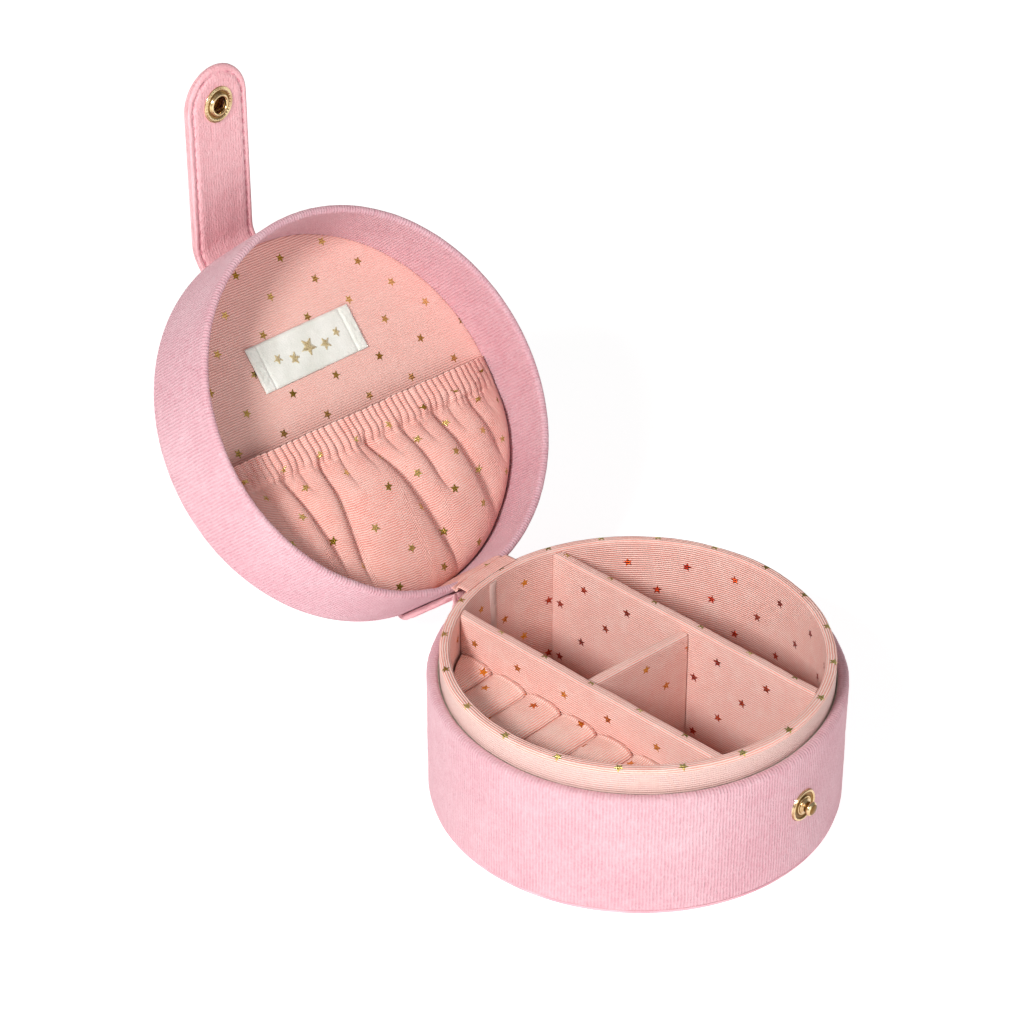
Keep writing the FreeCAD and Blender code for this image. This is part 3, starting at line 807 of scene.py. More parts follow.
def build_roll(number):
    """One padded ring roll: foam in lining, round-topped, tucked down at both ends."""
    middle = ROLL_PITCH * (number - (ROLLS + 1) / 2)
    half = ROLL_PITCH / 2 - 0.06
    section = roll_section(half, ROLL_TOP)
    run = outline_length(section)
    stations = np.concatenate(
        [np.linspace(0, 0.1, 8)[:-1], np.linspace(0.1, 0.9, 34), np.linspace(0.9, 1, 9)[1:]]
    )
    points, cloth = [], []
    for share in stations:
        for (across, height), along in zip(section, run):
            y = middle + across
            left = -math.sqrt(max(1.0, (INSERT_RADIUS - 0.3) ** 2 - y * y))
            length = ROLL_END - left
            x = left + share * length
            from_end = min(share, 1 - share) * length
            tuck = max(0.0, 1 - from_end / 1.3)
            shrink = 1 - 0.3 * (1 - math.sqrt(max(0.0, 1 - tuck**2))) * (1 if height > ROLL_TOP - 9 else 0.3)
            crowned = max(0.0, height - (ROLL_TOP - 6)) / 6
            sag = crowned * (0.28 * ripple((x, y * 0.5, 0), 7.0, number * 1.7) - 0.14)
            pinch = 0.05 * ripple((x, y, height), 1.6, number + 0.5)
            drop = (1 - shrink) * 2.4 * crowned
            piping = 0.4 * math.exp(-(((1 - share) * length - 1.5) / 0.3) ** 2) * crowned
            points.append((x, middle + across * (0.35 + 0.65 * shrink) + pinch, height + sag - drop + piping))
            cloth.append((x + number * 9.7, along + number * 6.3))
    faces = grid_faces(len(stations), len(section))
    count = len(section)
    last = (len(stations) - 1) * count
    faces.append(tuple(range(count)))
    faces.append(tuple(range(last + count - 1, last - 1, -1)))
    faces += [
        (i * count, (i + 1) * count, (i + 1) * count + count - 1, i * count + count - 1)
        for i in range(len(stations) - 1)
    ]
    piece = make_mesh(f"ring_roll_{number}_pad", points, faces, cloth, ROLL_LINING, INSERT)
    weld(piece)
    carry(piece, "base", "roll_lining", f"ring_roll_{number}")


def build_collar_join():
    """The puckered join of the collar's lining, inside and beside the hinge's middle."""
    where = math.radians(-2.0)
    half = 1.2
    low, high = 9.0, COLLAR_TOP - 1.2
    rows = 120
    across = np.linspace(-half, half, 9)
    points, cloth = [], []
    for i in range(rows):
        height = low + (high - low) * i / (rows - 1)
        wander = 0.35 * ripple((height, 0, 0), 5.0, 6.1)
        for offset in across:
            edge = 1 - (offset / half) ** 2
            beat = 0.05 * math.sin(height * 2 * math.pi / 1.7 + offset)
            pucker = 0.3 + beat + 0.12 * ripple((offset, height, 0), 2.1, 9.0)
            depth = COLLAR_INNER - 0.02 - edge * max(0.05, pucker)
            angle = where + (offset * (1 + 0.2 * ripple((height, 3, 0), 2.4, 1.5)) + wander) / COLLAR_INNER
            points.append(on_ring(depth, angle, height))
            cloth.append((height, offset * 3))
    piece = make_mesh("collar_join", points, grid_faces(rows, len(across)), cloth, JOIN_LINING)
    thicken(piece, 0.12)
    carry(piece, "base", "lining")


# ---- lid -----------------------------------------------------------------------------------


def build_lid_velvet():
    """One wrap of velvet: up the outside, round the rim and up the inside to the panel."""
    outside = BASE_RADIUS - 0.1
    rim = (outside - LID_INNER) / 2
    profile = [(49.2, TOP_BOARD), (outside, TOP_BOARD - 0.1), (outside, RIM + rim)]
    profile += arc(((outside + LID_INNER) / 2, RIM + rim), rim, 0, -180, 13)
    profile += [(LID_INNER, PANEL_FACE + 0.5), (LID_INNER + 0.5, PANEL_FACE + 0.5)]
    profile += [(LID_INNER + 0.5, RIM + 1.6), (49.2, RIM + 1.6)]
    piece = lathe(
        "lid_velvet", resample(profile, 0.62), VELVET, 620, LID, velvet_surface(0.12, 7.7)
    )
    carry(piece, "lid", "velvet", "lid_velvet_wall")


def build_lid_top():
    """The lid's flat outer face, with a soft rolled edge over the wall's cloth."""
    edge = 0.62
    outside = BASE_RADIUS - 0.05
    profile = [(0.0, LID_TOP), (outside - edge - 2.5, LID_TOP)]
    profile += arc((outside - edge, LID_TOP - edge), edge, 90, -60, 10)
    profile += [(49.2, TOP_BOARD + 0.05), (0.0, TOP_BOARD + 0.05)]

    def shape(radius, height, angle):
        spot = on_ring(radius, angle, height)
        near_edge = max(0.0, min(1.0, (radius - 20) / 25))
        return radius, height + 0.05 * near_edge * (ripple(spot, 8.0, 5.5) - 1)

    piece = lathe("lid_top_cloth", resample(profile, 1.1), VELVET, 300, LID, shape)
    flat_map(piece, LID)
    carry(piece, "lid", "velvet", "lid_top_velvet")


def build_panel():
    """The lid's inner panel: lining over board, its edge rounded over to the wall."""
    profile = [(0.0, PANEL_FACE), (PANEL_RADIUS - 3.0, PANEL_FACE)]
    profile += [(PANEL_RADIUS - 0.8, PANEL_FACE + 0.02), (PANEL_RADIUS - 0.2, PANEL_FACE + 0.12)]
    profile += [(PANEL_RADIUS, PANEL_FACE + 0.3), (PANEL_RADIUS - 0.1, PANEL_FACE + 0.58)]
    profile += [(0.0, PANEL_FACE + 0.58)]

    def shape(radius, height, angle):
        spot = on_ring(radius, angle)
        lift = 0.07 * (ripple(spot, 16.0, 3.3) + 1) if height < PANEL_FACE + 0.1 else 0
        return radius, height + lift * 0.5

    piece = lathe("lid_panel_cloth", resample(profile, 1.2), PANEL_LINING, 240, LID, shape)
    flat_map(piece, LID, POCKET_TURN)
    carry(piece, "lid", "lining", "lid_panel_lining")


# Pocket folds: where each crease starts at the mouth and ends at the hinge side, how deep
# it is and how far it reaches, from 0 at the mouth to 1 at the lid's wall.
POCKET_CREASES = (
    (-36.0, -31.0, 1.6, 0.7),
    (-27.2, -23.4, 3.6, 1.0),
    (-21.5, -20.6, 1.3, 0.34),
    (-16.4, -16.6, 3.3, 0.95),
    (-10.6, -11.6, 1.4, 0.36),
    (-5.0, -3.0, 1.2, 0.3),
    (-1.2, 7.2, 4.2, 1.0),
    (5.4, 7.8, 1.3, 0.3),
    (11.4, 14.0, 2.8, 0.6),
    (17.6, 18.0, 1.2, 0.34),
    (23.4, 25.6, 3.9, 1.0),
    (28.6, 30.5, 1.3, 0.4),
    (32.6, 38.6, 2.6, 0.85),
    (38.4, 42.0, 1.0, 0.6),
)
GATHER_PITCH = 2.05


def crease_depth(x, y, top_y):
    """How far the creases pull the pocket's cloth back at a place."""
    share = y / max(top_y, 1e-6)
    total = 0.0
    for start, end, depth, reach in POCKET_CREASES:
        bow = 1.1 * math.sin(share * math.pi + start)
        line = start + (end - start) * min(y / 42.0, 1.0) + bow
        side = x - line
        width = 0.75 + 0.9 * share if side < 0 else 3.0 + 3.6 * share
        fade = smooth(1 - (share - reach * 0.72) / (reach * 0.36 + 0.02))
        rise = smooth((y - 3.5) / 6.0)
        total += depth * fade * rise * math.exp(-abs(side) / width)
    return total


def gather(x, y):
    """The tight gathers of the elastic mouth, fading out below its stitched line."""
    phase = x / GATHER_PITCH + 0.24 * ripple((x, y * 0.25, 0), 6.0, 4.0) + 0.12 * ripple((x, y, 0), 3.0, 1.0)
    ridge = abs(math.sin(math.pi * phase)) ** 0.75
    reach = POCKET_BAND + 2.2 + 3.2 * ripple((x, 0, 0), 4.5, 2.2)
    return ridge * smooth((reach - y) / 4.5)


def pocket_height(x, y, top_y):
    """How far the pocket's cloth stands off the panel."""
    share = y / POCKET_RADIUS
    body = 3.4 + 5.4 * smooth(share / 0.42) - 2.4 * smooth((share - 0.5) / 0.5)
    body *= math.sqrt(max(0.0, 1 - (x / 60.0) ** 2))
    round_edge = min(1.0, math.hypot(x, y) / POCKET_RADIUS)
    edge = (1 - round_edge**11) ** 0.5
    mouth_end = 1 - 0.55 * smooth((abs(x) - 36) / 10) * (1 - smooth(y / 14))
    height = body * mouth_end
    height += 0.95 * gather(x, y) * (0.4 + 0.6 * edge)
    height -= crease_depth(x, y, top_y)
    groove = math.exp(-(((y - POCKET_BAND) / 0.7) ** 2))
    height -= groove * (0.32 + 0.25 * ripple((x, 0, 0), 2.2, 5.0))
    height += 0.22 * ripple((x, y, 0), 8.0, 6.6) * smooth(y / 10)
    return 0.35 + max(0.25, height) * edge


def pocket_edge_line(x):
    """Where the mouth lies: nearly straight, pulled a little by the folds behind it."""
    return 0.25 * ripple((x, 0, 0), 5.0, 7.7) - 0.12 * abs(math.sin(math.pi * x / GATHER_PITCH))


def pocket_columns():
    """Places across the pocket, closer together towards its two ends."""
    share = np.linspace(-1, 1, 421)
    return POCKET_RADIUS * 0.9993 * (0.72 * share + 0.28 * np.sin(share * math.pi / 2))


def cloth_places(points, rows, columns):
    """Cloth coordinates from the lengths along the grid's rows and columns."""
    grid = np.asarray(points, float).reshape(rows, columns, 3)
    across = np.linalg.norm(np.diff(grid, axis=1), axis=2)
    u = np.concatenate([np.zeros((rows, 1)), np.cumsum(across, axis=1)], axis=1)
    u -= u[:, columns // 2 : columns // 2 + 1]
    down = np.linalg.norm(np.diff(grid, axis=0), axis=2)
    v = np.concatenate([np.zeros((1, columns)), np.cumsum(down, axis=0)], axis=0)
    level = v[:, columns // 2][:, None]
    v = 0.5 * v + 0.5 * level
    return np.stack([u, v], axis=2).reshape(-1, 2)


def build_pocket():
    """The gathered pocket: an inner hem, a tight mouth and soft folds down to the hinge."""
    xs = pocket_columns()
    hem = np.linspace(1.0, 0.0, 12)[:-1]
    down = np.concatenate([np.linspace(0, 0.34, 62), np.linspace(0.34, 1, 84)[1:]])
    points = []
    for share in hem:
        for x in xs:
            top_y = math.sqrt(POCKET_RADIUS**2 - x * x)
            y = pocket_edge_line(x) + 0.12 + share * min(6.2, top_y * 0.8)
            gap = 0.95 * math.sqrt(max(0.0, 1 - (1 - share * 6 if share < 1 / 6 else 0) ** 2))
            height = pocket_height(x, max(y, 0), top_y) - gap
            points.append((x, y, PANEL_FACE - max(0.12, height)))
    for share in down:
        for x in xs:
            top_y = math.sqrt(POCKET_RADIUS**2 - x * x)
            y = share * top_y
            height = pocket_height(x, y, top_y)
            points.append((x, y + pocket_edge_line(x) * (1 - smooth(y / 5)), PANEL_FACE - height))
    rows = len(hem) + len(down)
    cloth = cloth_places(points, rows, len(xs))
    piece = make_mesh("pocket_cloth", points, grid_faces(rows, len(xs)), cloth, LINING, PANEL)
    thicken(piece, 0.3, 0.0)
    apply_modifiers(piece)
    carry(piece, "lid", "lining", "pocket_fabric")
    build_elastic()


def build_elastic():
    """The elastic inside the pocket's hem."""
    xs = np.linspace(-44.5, 44.5, 181)
    points, cloth = [], []
    for y in np.linspace(1.0, 5.6, 6):
        for x in xs:
            top_y = math.sqrt(POCKET_RADIUS**2 - x * x)
            lift = max(0.3, pocket_height(x, y, top_y) - 0.5)
            points.append((x, y, PANEL_FACE - lift))
            cloth.append((x, y))
    piece = make_mesh("mouth_elastic", points, grid_faces(6, len(xs)), cloth, LABEL_CLOTH, PANEL)
    thicken(piece, 0.2, 0.0)
    carry(piece, "lid", "lining", "pocket_elastic_band")
    return piece


LABEL_POSE = (
    LID @ Matrix.Translation((0, -19.6, 0)) @ Matrix.Rotation(math.radians(3.5), 4, "Z")
)
LABEL_SIZE = (34.5, 12.0)
LABEL_FOLD = 3.4


def label_height(x, y):
    """How far the label's face stands off the panel, with its folded ends."""
    long_half, short_half = LABEL_SIZE[0] / 2, LABEL_SIZE[1] / 2
    to_edge = min(long_half - abs(x), short_half - abs(y))
    pressed = smooth(to_edge / 0.5)
    crease = math.exp(-(((long_half - abs(x) - LABEL_FOLD) / 0.35) ** 2))
    ends = 0.16 * smooth((abs(x) - long_half + LABEL_FOLD) / 0.8)
    wrinkle = 0.1 * ripple((x * 0.6, y, 0), 2.4, 3.0) + ends * ripple((x, y, 0), 1.1, 8.0)
    return 0.14 + 0.38 * pressed + ends - 0.17 * crease + wrinkle * pressed


def build_label():
    """A cream label, its ends folded under, with a row of small embroidered stars."""
    xs = np.linspace(-LABEL_SIZE[0] / 2, LABEL_SIZE[0] / 2, 150)
    ys = np.linspace(-LABEL_SIZE[1] / 2, LABEL_SIZE[1] / 2, 56)
    points, cloth = [], []
    for y in ys:
        for x in xs:
            fray_x = 0.1 * ripple((y, 1, 0), 1.0, 4.0) * smooth((abs(x) - 15) / 2)
            fray_y = 0.08 * ripple((x, 0, 0), 2.2, 2.0) * smooth((abs(y) - 4.5) / 1.5)
            points.append((x + fray_x, y + fray_y, PANEL_FACE - label_height(x, y)))
            cloth.append((x, y))
    piece = make_mesh(
        "label_cloth_patch", points, grid_faces(len(ys), len(xs)), cloth, LABEL_CLOTH, LABEL_POSE
    )
    thicken(piece, 0.14, 0.0)
    stitches = build_label_stars()
    carry(piece, "lid", "label_cloth", "label")


def star_stitches(centre, size, turn):
    """Satin stitches that fill a small five-pointed star."""
    corners = []
    for k in range(10):
        reach = size if k % 2 == 0 else size * 0.45
        angle = turn + math.pi / 5 * k + math.pi / 2
        corners.append((reach * math.cos(angle), reach * math.sin(angle)))
    lines = []
    for y in np.arange(-size, size, 0.24):
        cuts = sorted(
            a[0] + (b[0] - a[0]) * (y - a[1]) / (b[1] - a[1])
            for a, b in zip(corners, corners[1:] + corners[:1])
            if (a[1] - y) * (b[1] - y) < 0
        )
        for left, right in zip(cuts[::2], cuts[1::2]):
            if right - left < 0.25:
                continue
            line = []
            for share in np.linspace(0, 1, 6):
                x = left + (right - left) * share
                spot = (centre[0] + x, centre[1] + y)
                lift = label_height(*spot) + 0.1 + 0.1 * math.sin(share * math.pi)
                line.append((*spot, PANEL_FACE - lift))
            lines.append(line)
    return lines


def build_label_stars():
    """The label's row of five embroidered stars."""
    lines = []
    for x, y, size, turn in (
        (-9.6, -0.6, 1.5, 0.2),
        (-4.9, 0.9, 1.9, -0.25),
        (0.4, -0.3, 2.6, 0.1),
        (5.6, 0.8, 1.9, 0.35),
        (10.1, -0.7, 1.5, -0.1),
    ):
        lines += star_stitches((x, y), size, turn)
    piece = threads("label_stitched_stars", lines, 0.11, GOLD_THREAD, LABEL_POSE)
    carry(piece, "lid", "label_cloth")
    return piece


# ---- hinge tab -------------------------------------------------------------------------------


def closed_to_open(y, z):
    """Where a closed-lid (Y, Z) point lies in the open case."""
    spot = LID @ Vector((0, y, z))
    return spot.y, spot.z


def build_hinge_tab():
    """The lining tab that joins the collar's rim to the lid's inner wall."""
    start = [(45.4, COLLAR_TOP + 0.28), (46.2, COLLAR_TOP + 0.32), (47.0, COLLAR_TOP + 0.3)]
    over_rim = [(48.6, COLLAR_TOP + 0.12), closed_to_open(LID_INNER + 0.9, RIM - 0.45)]
    down = [closed_to_open(LID_INNER - 0.35, z) for z in (RIM + 0.6, RIM + 5, RIM + 11, PANEL_FACE - 1.2)]
    line = smooth_line(start + over_rim + down, 56)
    run = outline_length(line)
    columns = 44
    points, cloth = [], []
    for (y, z), along in zip(line, run):
        for k in range(columns):
            share = k / (columns - 1)
            x = TAB_LEFT + (TAB_RIGHT - TAB_LEFT) * share
            edge = min(share, 1 - share) * (TAB_RIGHT - TAB_LEFT)
            bulge = 0.16 * ripple((x, along, 0), 4.0, 2.8) + 0.1 * math.exp(-((edge - 0.9) / 0.4) ** 2)
            curve = wall_curve(x, COLLAR_RADIUS if along < 3 else LID_INNER)
            points.append((x, y - curve * (0.55 if along < 6 else 1.0), z + bulge))
            cloth.append((x, along))
    piece = make_mesh("hinge_tab_cloth", points, grid_faces(len(line), columns), cloth, LINING)
    flip_outwards(piece)
    thicken(piece, 0.34, 0.0)
    apply_modifiers(piece)
    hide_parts("hinge_tab", "hinge_tab_lid")
    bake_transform(piece)


def wall_curve(x, radius):
    """How far a round wall falls away from its middle at x."""
    return radius - math.sqrt(radius * radius - x * x)


def smooth_line(points, count):
    """A smooth curve through points, evenly spaced along its length."""
    points = np.asarray(points, float)
    run = outline_length(points)
    places = np.linspace(0, run[-1], count * 6)
    tangents = np.gradient(points, run, axis=0)
    curve = []
    for place in places:
        k = min(int(np.searchsorted(run, place, "right")) - 1, len(points) - 2)
        span = run[k + 1] - run[k]
        t = (place - run[k]) / span
        a, b = points[k], points[k + 1]
        m, n = tangents[k] * span, tangents[k + 1] * span
        curve.append(
            (2 * t**3 - 3 * t**2 + 1) * a
            + (t**3 - 2 * t**2 + t) * m
            + (3 * t**2 - 2 * t**3) * b
            + (t**3 - t**2) * n
        )
    curve = np.array(curve)
    length = outline_length(curve)
    even = np.linspace(0, length[-1], count)
    return np.stack([np.interp(even, length, curve[:, i]) for i in range(curve.shape[1])], axis=1)


# ---- strap -------------------------------------------------------------------------------------

STITCH_INSET = 1.8
STITCH_LENGTH = 2.1
STITCH_GAP = 0.75


def edge_profile(distance, place, seed):
    """Share of the strap's half-thickness at a distance in from its edge."""
    if distance <= 0:
        return 0.0
    rise = math.sqrt(min(1.0, distance / 0.9) * (2 - min(1.0, distance / 0.9)))
    dimple = 0.16 * math.sin(place * 2 * math.pi / (STITCH_LENGTH + STITCH_GAP))
    groove = math.exp(-(((distance - STITCH_INSET) / 0.45) ** 2))
    swell = 0.12 * math.exp(-(((distance - 3.3) / 1.3) ** 2))
    lump = 0.08 * ripple((distance, place, 0), 2.3, seed)
    return rise * (1 + swell + lump - groove * (0.38 + dimple))


def strap_frame(line):
    """A strap line as an array, its running length and the way its outer face looks."""
    line = np.asarray(line, float)
    run = outline_length(line)
    ahead = np.gradient(line, run, axis=0)
    ahead /= np.linalg.norm(ahead, axis=1)[:, None]
    return line, run, np.stack([ahead[:, 1], -ahead[:, 0]], axis=1)


def strap_mesh(name, line, curve, half_width, thickness, seed, tip=None):
    """A padded strap along a line of (y, z) points. curve(along) is how much of the drum's
    roundness it follows at each place; tip is where along the line its round end starts."""
    line, run, normal = strap_frame(line)
    share = np.concatenate(
        [np.linspace(0, 0.36, 19)[:-1], np.linspace(0.36, 1.64, 24), np.linspace(1.64, 2, 19)[1:]]
    ) - 1
    ring = np.concatenate([share, share[::-1][1:-1]])
    upper = np.concatenate([np.ones(len(share)), -np.ones(len(share) - 2)])
    points, cloth = [], []
    for i, along in enumerate(run):
        beyond = 0.0 if tip is None else max(0.0, along - tip)
        half = half_width if beyond == 0 else math.sqrt(max(0.0, half_width**2 - beyond**2))
        for c, side in zip(ring, upper):
            wave = 0.1 * ripple((along, c * 3, 0), 2.6, seed + 4) * abs(c) ** 6
            x = c * half * (1 + wave / half_width)
            inside = half_width - math.hypot(x, beyond)
            lift = side * thickness(along) / 2 * edge_profile(inside, along, seed + side)
            fall = wall_curve(x, BASE_RADIUS) * curve(along)
            y = line[i, 0] + normal[i, 0] * (lift - fall)
            z = line[i, 1] + normal[i, 1] * (lift - fall)
            points.append((x, y, z))
            cloth.append((x + (0 if side > 0 else 31.0), along))
    columns = len(ring)
    faces = grid_faces(len(run), columns, wrap_columns=True)
    faces.append(tuple(range(columns - 1, -1, -1)))
    last = (len(run) - 1) * columns
    faces.append(tuple(range(last, last + columns)))
    piece = make_mesh(name, points, faces, cloth, STRAP_VELVET)
    weld(piece)
    return piece


def strap_stitches(name, line, curve, half_width, thickness, start, end, tip=None):
    """Stitches just inside the strap's edge, on both faces."""
    line, run, normal = strap_frame(line)
    inner = half_width - STITCH_INSET
    straight = end if tip is None else tip
    path = [(-inner, s) for s in np.arange(start, straight, 0.35)]
    if tip is not None:
        angles = np.arange(0, math.pi, 0.35 / inner)
        path += [(-inner * math.cos(a), tip + inner * math.sin(a)) for a in angles]
    path += [(inner, s) for s in np.arange(straight, start, -0.35)]
    lengths = outline_length(path)
    lines = []
    place = 0.4
    while place + STITCH_LENGTH < lengths[-1]:
        samples = np.linspace(place, place + STITCH_LENGTH, 6)
        place += STITCH_LENGTH + STITCH_GAP
        xs = np.interp(samples, lengths, [p[0] for p in path])
        ss = np.interp(samples, lengths, [p[1] for p in path])
        crosses_over = np.abs(np.diff(xs)).max() > 3
        if crosses_over:
            continue
        for side in (1, -1):
            stitch = []
            for k, (x, s) in enumerate(zip(xs, ss)):
                y0, z0 = (np.interp(s, run, line[:, i]) for i in (0, 1))
                n0, n1 = (np.interp(s, run, normal[:, i]) for i in (0, 1))
                dip = -0.22 + 0.34 * math.sin(math.pi * k / 5)
                lift = side * (thickness(s) / 2 * 0.66 + dip)
                fall = wall_curve(x, BASE_RADIUS) * curve(s)
                stitch.append((x, y0 + n0 * (lift - fall), z0 + n1 * (lift - fall)))
            lines.append(stitch)
    return threads(name, lines, 0.15, PINK_THREAD)


def build_strap_back():
    """The strap from its foot on the base, through the hinge's fold, to mid lid."""
    half_thick = STRAP_THICK / 2 + 0.05
    wall = BASE_RADIUS + half_thick
    apex = HINGE.z
    line = [(wall, z) for z in np.arange(8.0, apex - 4.2, 0.7)]
    line += [(BASE_RADIUS + 0.75, apex - 3.2), (BASE_RADIUS + 0.55, apex - 2.0)]
    line += [(BASE_RADIUS + 0.36, apex - 0.9), closed_to_open(BASE_RADIUS + 0.36, apex + 0.9)]
    line += [closed_to_open(BASE_RADIUS + 0.55, apex + 2.0)]
    line += [closed_to_open(wall - 0.1, apex + 4.2)]
    line += [closed_to_open(wall, z) for z in np.arange(apex + 5.2, LID_TOP - 1.2, 0.7)]
    corner = 1.6
    for a in np.linspace(0.1, math.pi / 2, 7):
        y = wall - corner + corner * math.cos(a)
        line.append(closed_to_open(y, LID_TOP + half_thick - corner + corner * math.sin(a)))
    line += [closed_to_open(y, LID_TOP + half_thick) for y in np.arange(wall - corner - 0.8, 0.3, -0.8)]
    line.append(closed_to_open(-0.15, LID_TOP + half_thick))
    run = outline_length(line)
    fold_at = run[np.argmin([math.hypot(y - HINGE.y, z - HINGE.z) for y, z in line])]
    top_at = run[-1] - (wall - corner)

    def thickness(along):
        near_fold = math.exp(-(((along - fold_at) / 2.6) ** 2))
        return STRAP_THICK * (1 - 0.5 * near_fold)

    def curve(along):
        return 1 - smooth((along - top_at + 2.5) / 3.0)

    piece = strap_mesh("strap_back", line, curve, STRAP_HALF, thickness, 2.2)
    stitches = strap_stitches(
        "strap_back_stitches", line, curve, STRAP_HALF, thickness, STITCH_INSET, run[-1]
    )
    for each in (piece, stitches):
        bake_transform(each)
    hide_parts("strap_tail", "strap_hinge")


SOCKET_FLANGE = 4.65
SOCKET_HOLE = 3.68
SOCKET_BEADS = 30
SOCKET_Z = node_mm("snap_socket")[0].z + SOCKET_FLANGE
SOCKET_POSE = facing(FLAP_LOW.y - 0.6, SOCKET_Z, 90)


def punch(piece, pose, radius):
    """Cut a round hole through a piece, along the pose's own Z axis."""
    cutter = lathe("punch", [(0.0, -6.0), (radius, -6.0), (radius, 3.0), (0.0, 3.0)], BOARD, 48, pose)
    hole = piece.modifiers.new("hole", "BOOLEAN")
    hole.object = cutter
    hole.solver = "EXACT"
    apply_modifiers(piece)
    bpy.data.objects.remove(cutter)


def build_strap_front():
    """The strap from mid lid over the fold to the flap's round tip, holed for the socket."""
    half_thick = STRAP_THICK / 2 + 0.05
    line = [closed_to_open(y, LID_TOP + half_thick) for y in np.arange(0.0, -48.9, -0.8)]
    centre = (FLAP_LOW.y + FLAP_HIGH.y) / 2
    top = FLAP_HIGH.z
    last = line[-1]
    turn = [(last[0] + 1.15, last[1] + 1.75), (centre - 0.25, last[1] + 4.0)]
    upright = [(centre, last[1] + 6.6), (centre, last[1] + 8.0)]
    bend = smooth_line([line[-2], last, *turn, *upright], 22)
    line += [tuple(p) for p in bend[3:]]
    tip_start = top - STRAP_HALF
    line += [(centre, z) for z in np.arange(line[-1][1] + 0.7, tip_start, 0.7)]
    rise = np.sin(np.linspace(0, math.pi / 2, 40))
    line += [(centre, tip_start + STRAP_HALF * 0.9995 * r) for r in rise]
    run = outline_length(line)
    flap_at = run[np.argmin([math.hypot(y - bend[-1][0], z - bend[-1][1]) for y, z in line])]
    tip = run[-1] - STRAP_HALF

    def thickness(along):
        return STRAP_THICK + (FLAP_THICK - STRAP_THICK) * smooth((along - flap_at + 6) / 6)

    def curve(along):
        """The lid's top and the flap are flat."""
        return 0.0

    piece = strap_mesh("strap_flap", line, curve, STRAP_HALF, thickness, 6.4, tip)
    punch(piece, SOCKET_POSE, SOCKET_HOLE)
    stitches = strap_stitches(
        "strap_flap_stitches", line, curve, STRAP_HALF, thickness, 0.6, run[-1], tip
    )
    for each in (piece, stitches):
        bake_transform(each)
    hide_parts("strap_lid", "flap_inner_velvet", "flap_core", "flap_outer_velvet")


# ---- snap fastener --------------------------------------------------------------------------------

STUD_POSE = facing(-BASE_RADIUS, SNAP_HEIGHT, 90)


def snap_part(name, profile, pose, body, node, dark=None, turns=96, shape=None, closed=True):
    """A turned metal piece of the snap that stands for its CAD node. dark holds
    (from, to) radii between which the plating is worn dark."""
    piece = lathe(name, profile, GOLD, turns, pose, shape, closed)
    if dark is not None:
        piece.data.materials.append(DARK_GOLD)
        back = pose.inverted()
        for face in piece.data.polygons:
            spot = back @ (face.center / MM)
            if dark[0] < math.hypot(spot.x, spot.y) < dark[1]:
                face.material_index = 1
    carry(piece, body, "gold_metal", node)
    return piece


def build_stud():
    """The stud on the front wall: a dished washer and a necked, round-headed post."""
    washer = [(1.5, -0.7), (4.4, -0.7), (4.4, -0.5), *arc((3.72, 0.1), 0.3, -20, 160, 10)]
    washer += [(3.3, -0.02), (2.6, -0.05), *arc((2.2, 0.12), 0.26, 10, 170, 9), (1.5, 0.1)]
    snap_part("stud_washer_ring", washer, STUD_POSE, "base", "stud_washer", (2.4, 3.45))
    post = [(0.0, -2.9), (1.45, -2.9), (1.45, 0.1), (1.9, 0.15), (2.0, 0.4), (1.85, 0.62)]
    post += [(1.5, 0.72), (1.3, 0.95), (1.25, 1.35), (1.4, 1.62)]
    post += arc((1.2, 2.15), 0.58, -50, 40, 7)
    post += [(1.35, 2.85), (0.8, 3.05), (0.0, 3.1)]
    snap_part("snap_stud_post", post, STUD_POSE, "base", "snap_stud", (0.0, 1.36), closed=False)


def build_socket():
    """The socket on the flap, with a beaded flange, and the cap on the flap's outside."""

    def beads(radius, height, angle):
        bump = math.exp(-(((radius - 3.75) / 0.38) ** 2)) * (0.5 + 0.5 * math.cos(angle * SOCKET_BEADS))
        return radius, height + (0.09 * bump if height > 0.2 else 0)

    flange = [(3.7, -1.2), (3.7, -0.05), (SOCKET_FLANGE, -0.05), *arc((4.45, 0.12), 0.2, -40, 100, 6)]
    flange += [(4.25, 0.36), (4.05, 0.44), (3.85, 0.4), (3.6, 0.22), (3.3, 0.16), (3.0, 0.2)]
    flange += [*arc((2.5, 0.48), 0.4, 0, 170, 9), (2.05, 0.3), (2.02, 0.0), (2.2, -0.15)]
    flange += [(3.2, -0.15), (3.2, -1.2)]
    snap_part("snap_socket_ring", flange, SOCKET_POSE, "flap", "snap_socket", (2.95, 3.7), 240, beads)
    outward = facing(FLAP_HIGH.y + 0.6, SOCKET_Z, -90)
    cap = [(0.0, 0.0), (5.9, 0.0), *arc((5.9, 0.25), 0.25, -90, 60, 7)]
    cap += [(6.2 * math.cos(a), 0.3 + 1.08 * math.sin(a)) for a in np.linspace(0.35, 1.45, 14)]
    cap += [(0.0, 1.38)]
    snap_part("snap_cap_dome", cap, outward, "flap", "snap_cap", closed=False)


# ---- stage ---------------------------------------------------------------------------------------


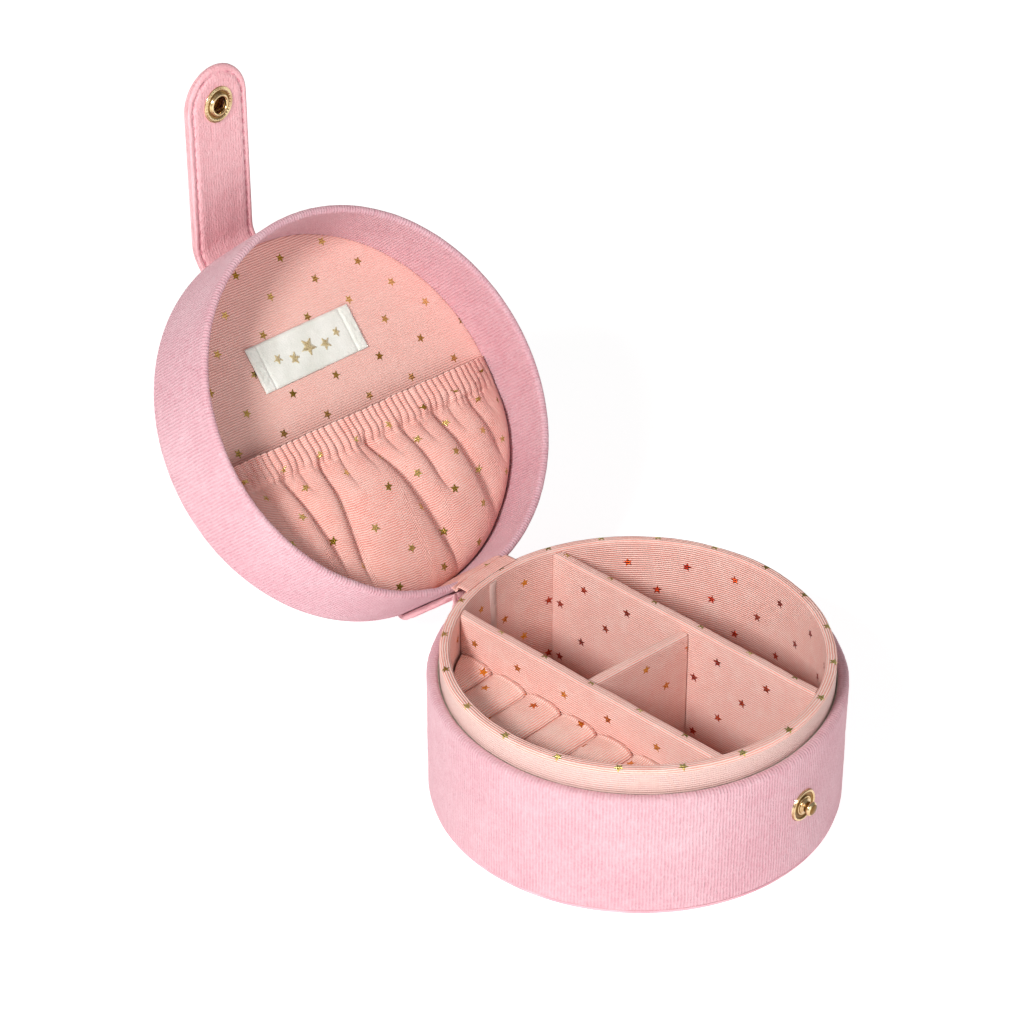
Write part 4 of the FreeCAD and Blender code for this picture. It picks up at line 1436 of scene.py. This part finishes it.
def build_stage():
    """A white floor, an even white sky, a key lamp at the left and a broad fill in front."""
    mesh = bpy.data.meshes.new("floor_plane")
    half = 60.0
    corners = [(-half, -half, 0), (half, -half, 0), (half, half, 0), (-half, half, 0)]
    mesh.from_pydata(corners, [], [(0, 1, 2, 3)])
    floor = bpy.data.objects.new("floor_plane", mesh)
    bpy.context.scene.collection.objects.link(floor)
    paper = Shader("white_paper", Roughness=0.9, Emission_Strength=0.8)
    paper.set("Base Color", (0.55, 0.55, 0.55, 1))
    paper.set("Emission Color", (1, 1, 1, 1))
    mesh.materials.append(paper.material)
    world = bpy.data.worlds.new("studio")
    world.use_nodes = True
    sky = world.node_tree.nodes["Background"].inputs
    sky["Color"].default_value = (1, 0.985, 0.98, 1)
    sky["Strength"].default_value = 0.28
    bpy.context.scene.world = world
    lit = Vector((0, 0.03, 0.05))
    for name, spot, width, watts, tint in (
        ("key", (-0.84, -0.14, 0.7), 0.2, 10.2, (1.0, 0.985, 0.97)),
        ("front_fill", (-0.35, -0.95, 0.35), 0.7, 3.0, (1.0, 0.97, 0.98)),
    ):
        lamp = bpy.data.lights.new(name, "AREA")
        lamp.size = width
        lamp.energy = watts
        lamp.color = tint
        holder = bpy.data.objects.new(name, lamp)
        holder.location = spot
        holder.rotation_euler = (lit - Vector(spot)).to_track_quat("-Z", "Y").to_euler()
        bpy.context.scene.collection.objects.link(holder)


def build_camera():
    """The camera, high at the front left and far enough off for a long lens."""
    camera = bpy.data.cameras.new("camera")
    camera.lens = 118.4
    camera.sensor_width = 36.0
    camera.clip_start, camera.clip_end = 0.05, 200
    holder = bpy.data.objects.new("camera", camera)
    right = Vector((0.65930, -0.75188, 0.0))
    up = Vector((0.42011, 0.36838, 0.82934))
    back = Vector((-0.62356, -0.54678, 0.55875))
    spot = Vector((-500.235, -399.225, 508.653)) * MM
    turn = Matrix((right, up, back)).transposed().to_4x4()
    holder.matrix_world = Matrix.Translation(spot) @ turn
    bpy.context.scene.collection.objects.link(holder)
    bpy.context.scene.camera = holder
    bpy.context.scene.view_settings.view_transform = "Standard"


build_camera()
build_stage()
build_base_velvet()
build_foot_cover()
build_collar_cloth()
build_collar_join()
build_floor_cloth()
build_dividers()
for number in range(1, ROLLS + 1):
    build_roll(number)
build_lid_velvet()
build_lid_top()
build_panel()
build_pocket()
build_label()
build_hinge_tab()
build_strap_back()
build_strap_front()
build_stud()
build_socket()
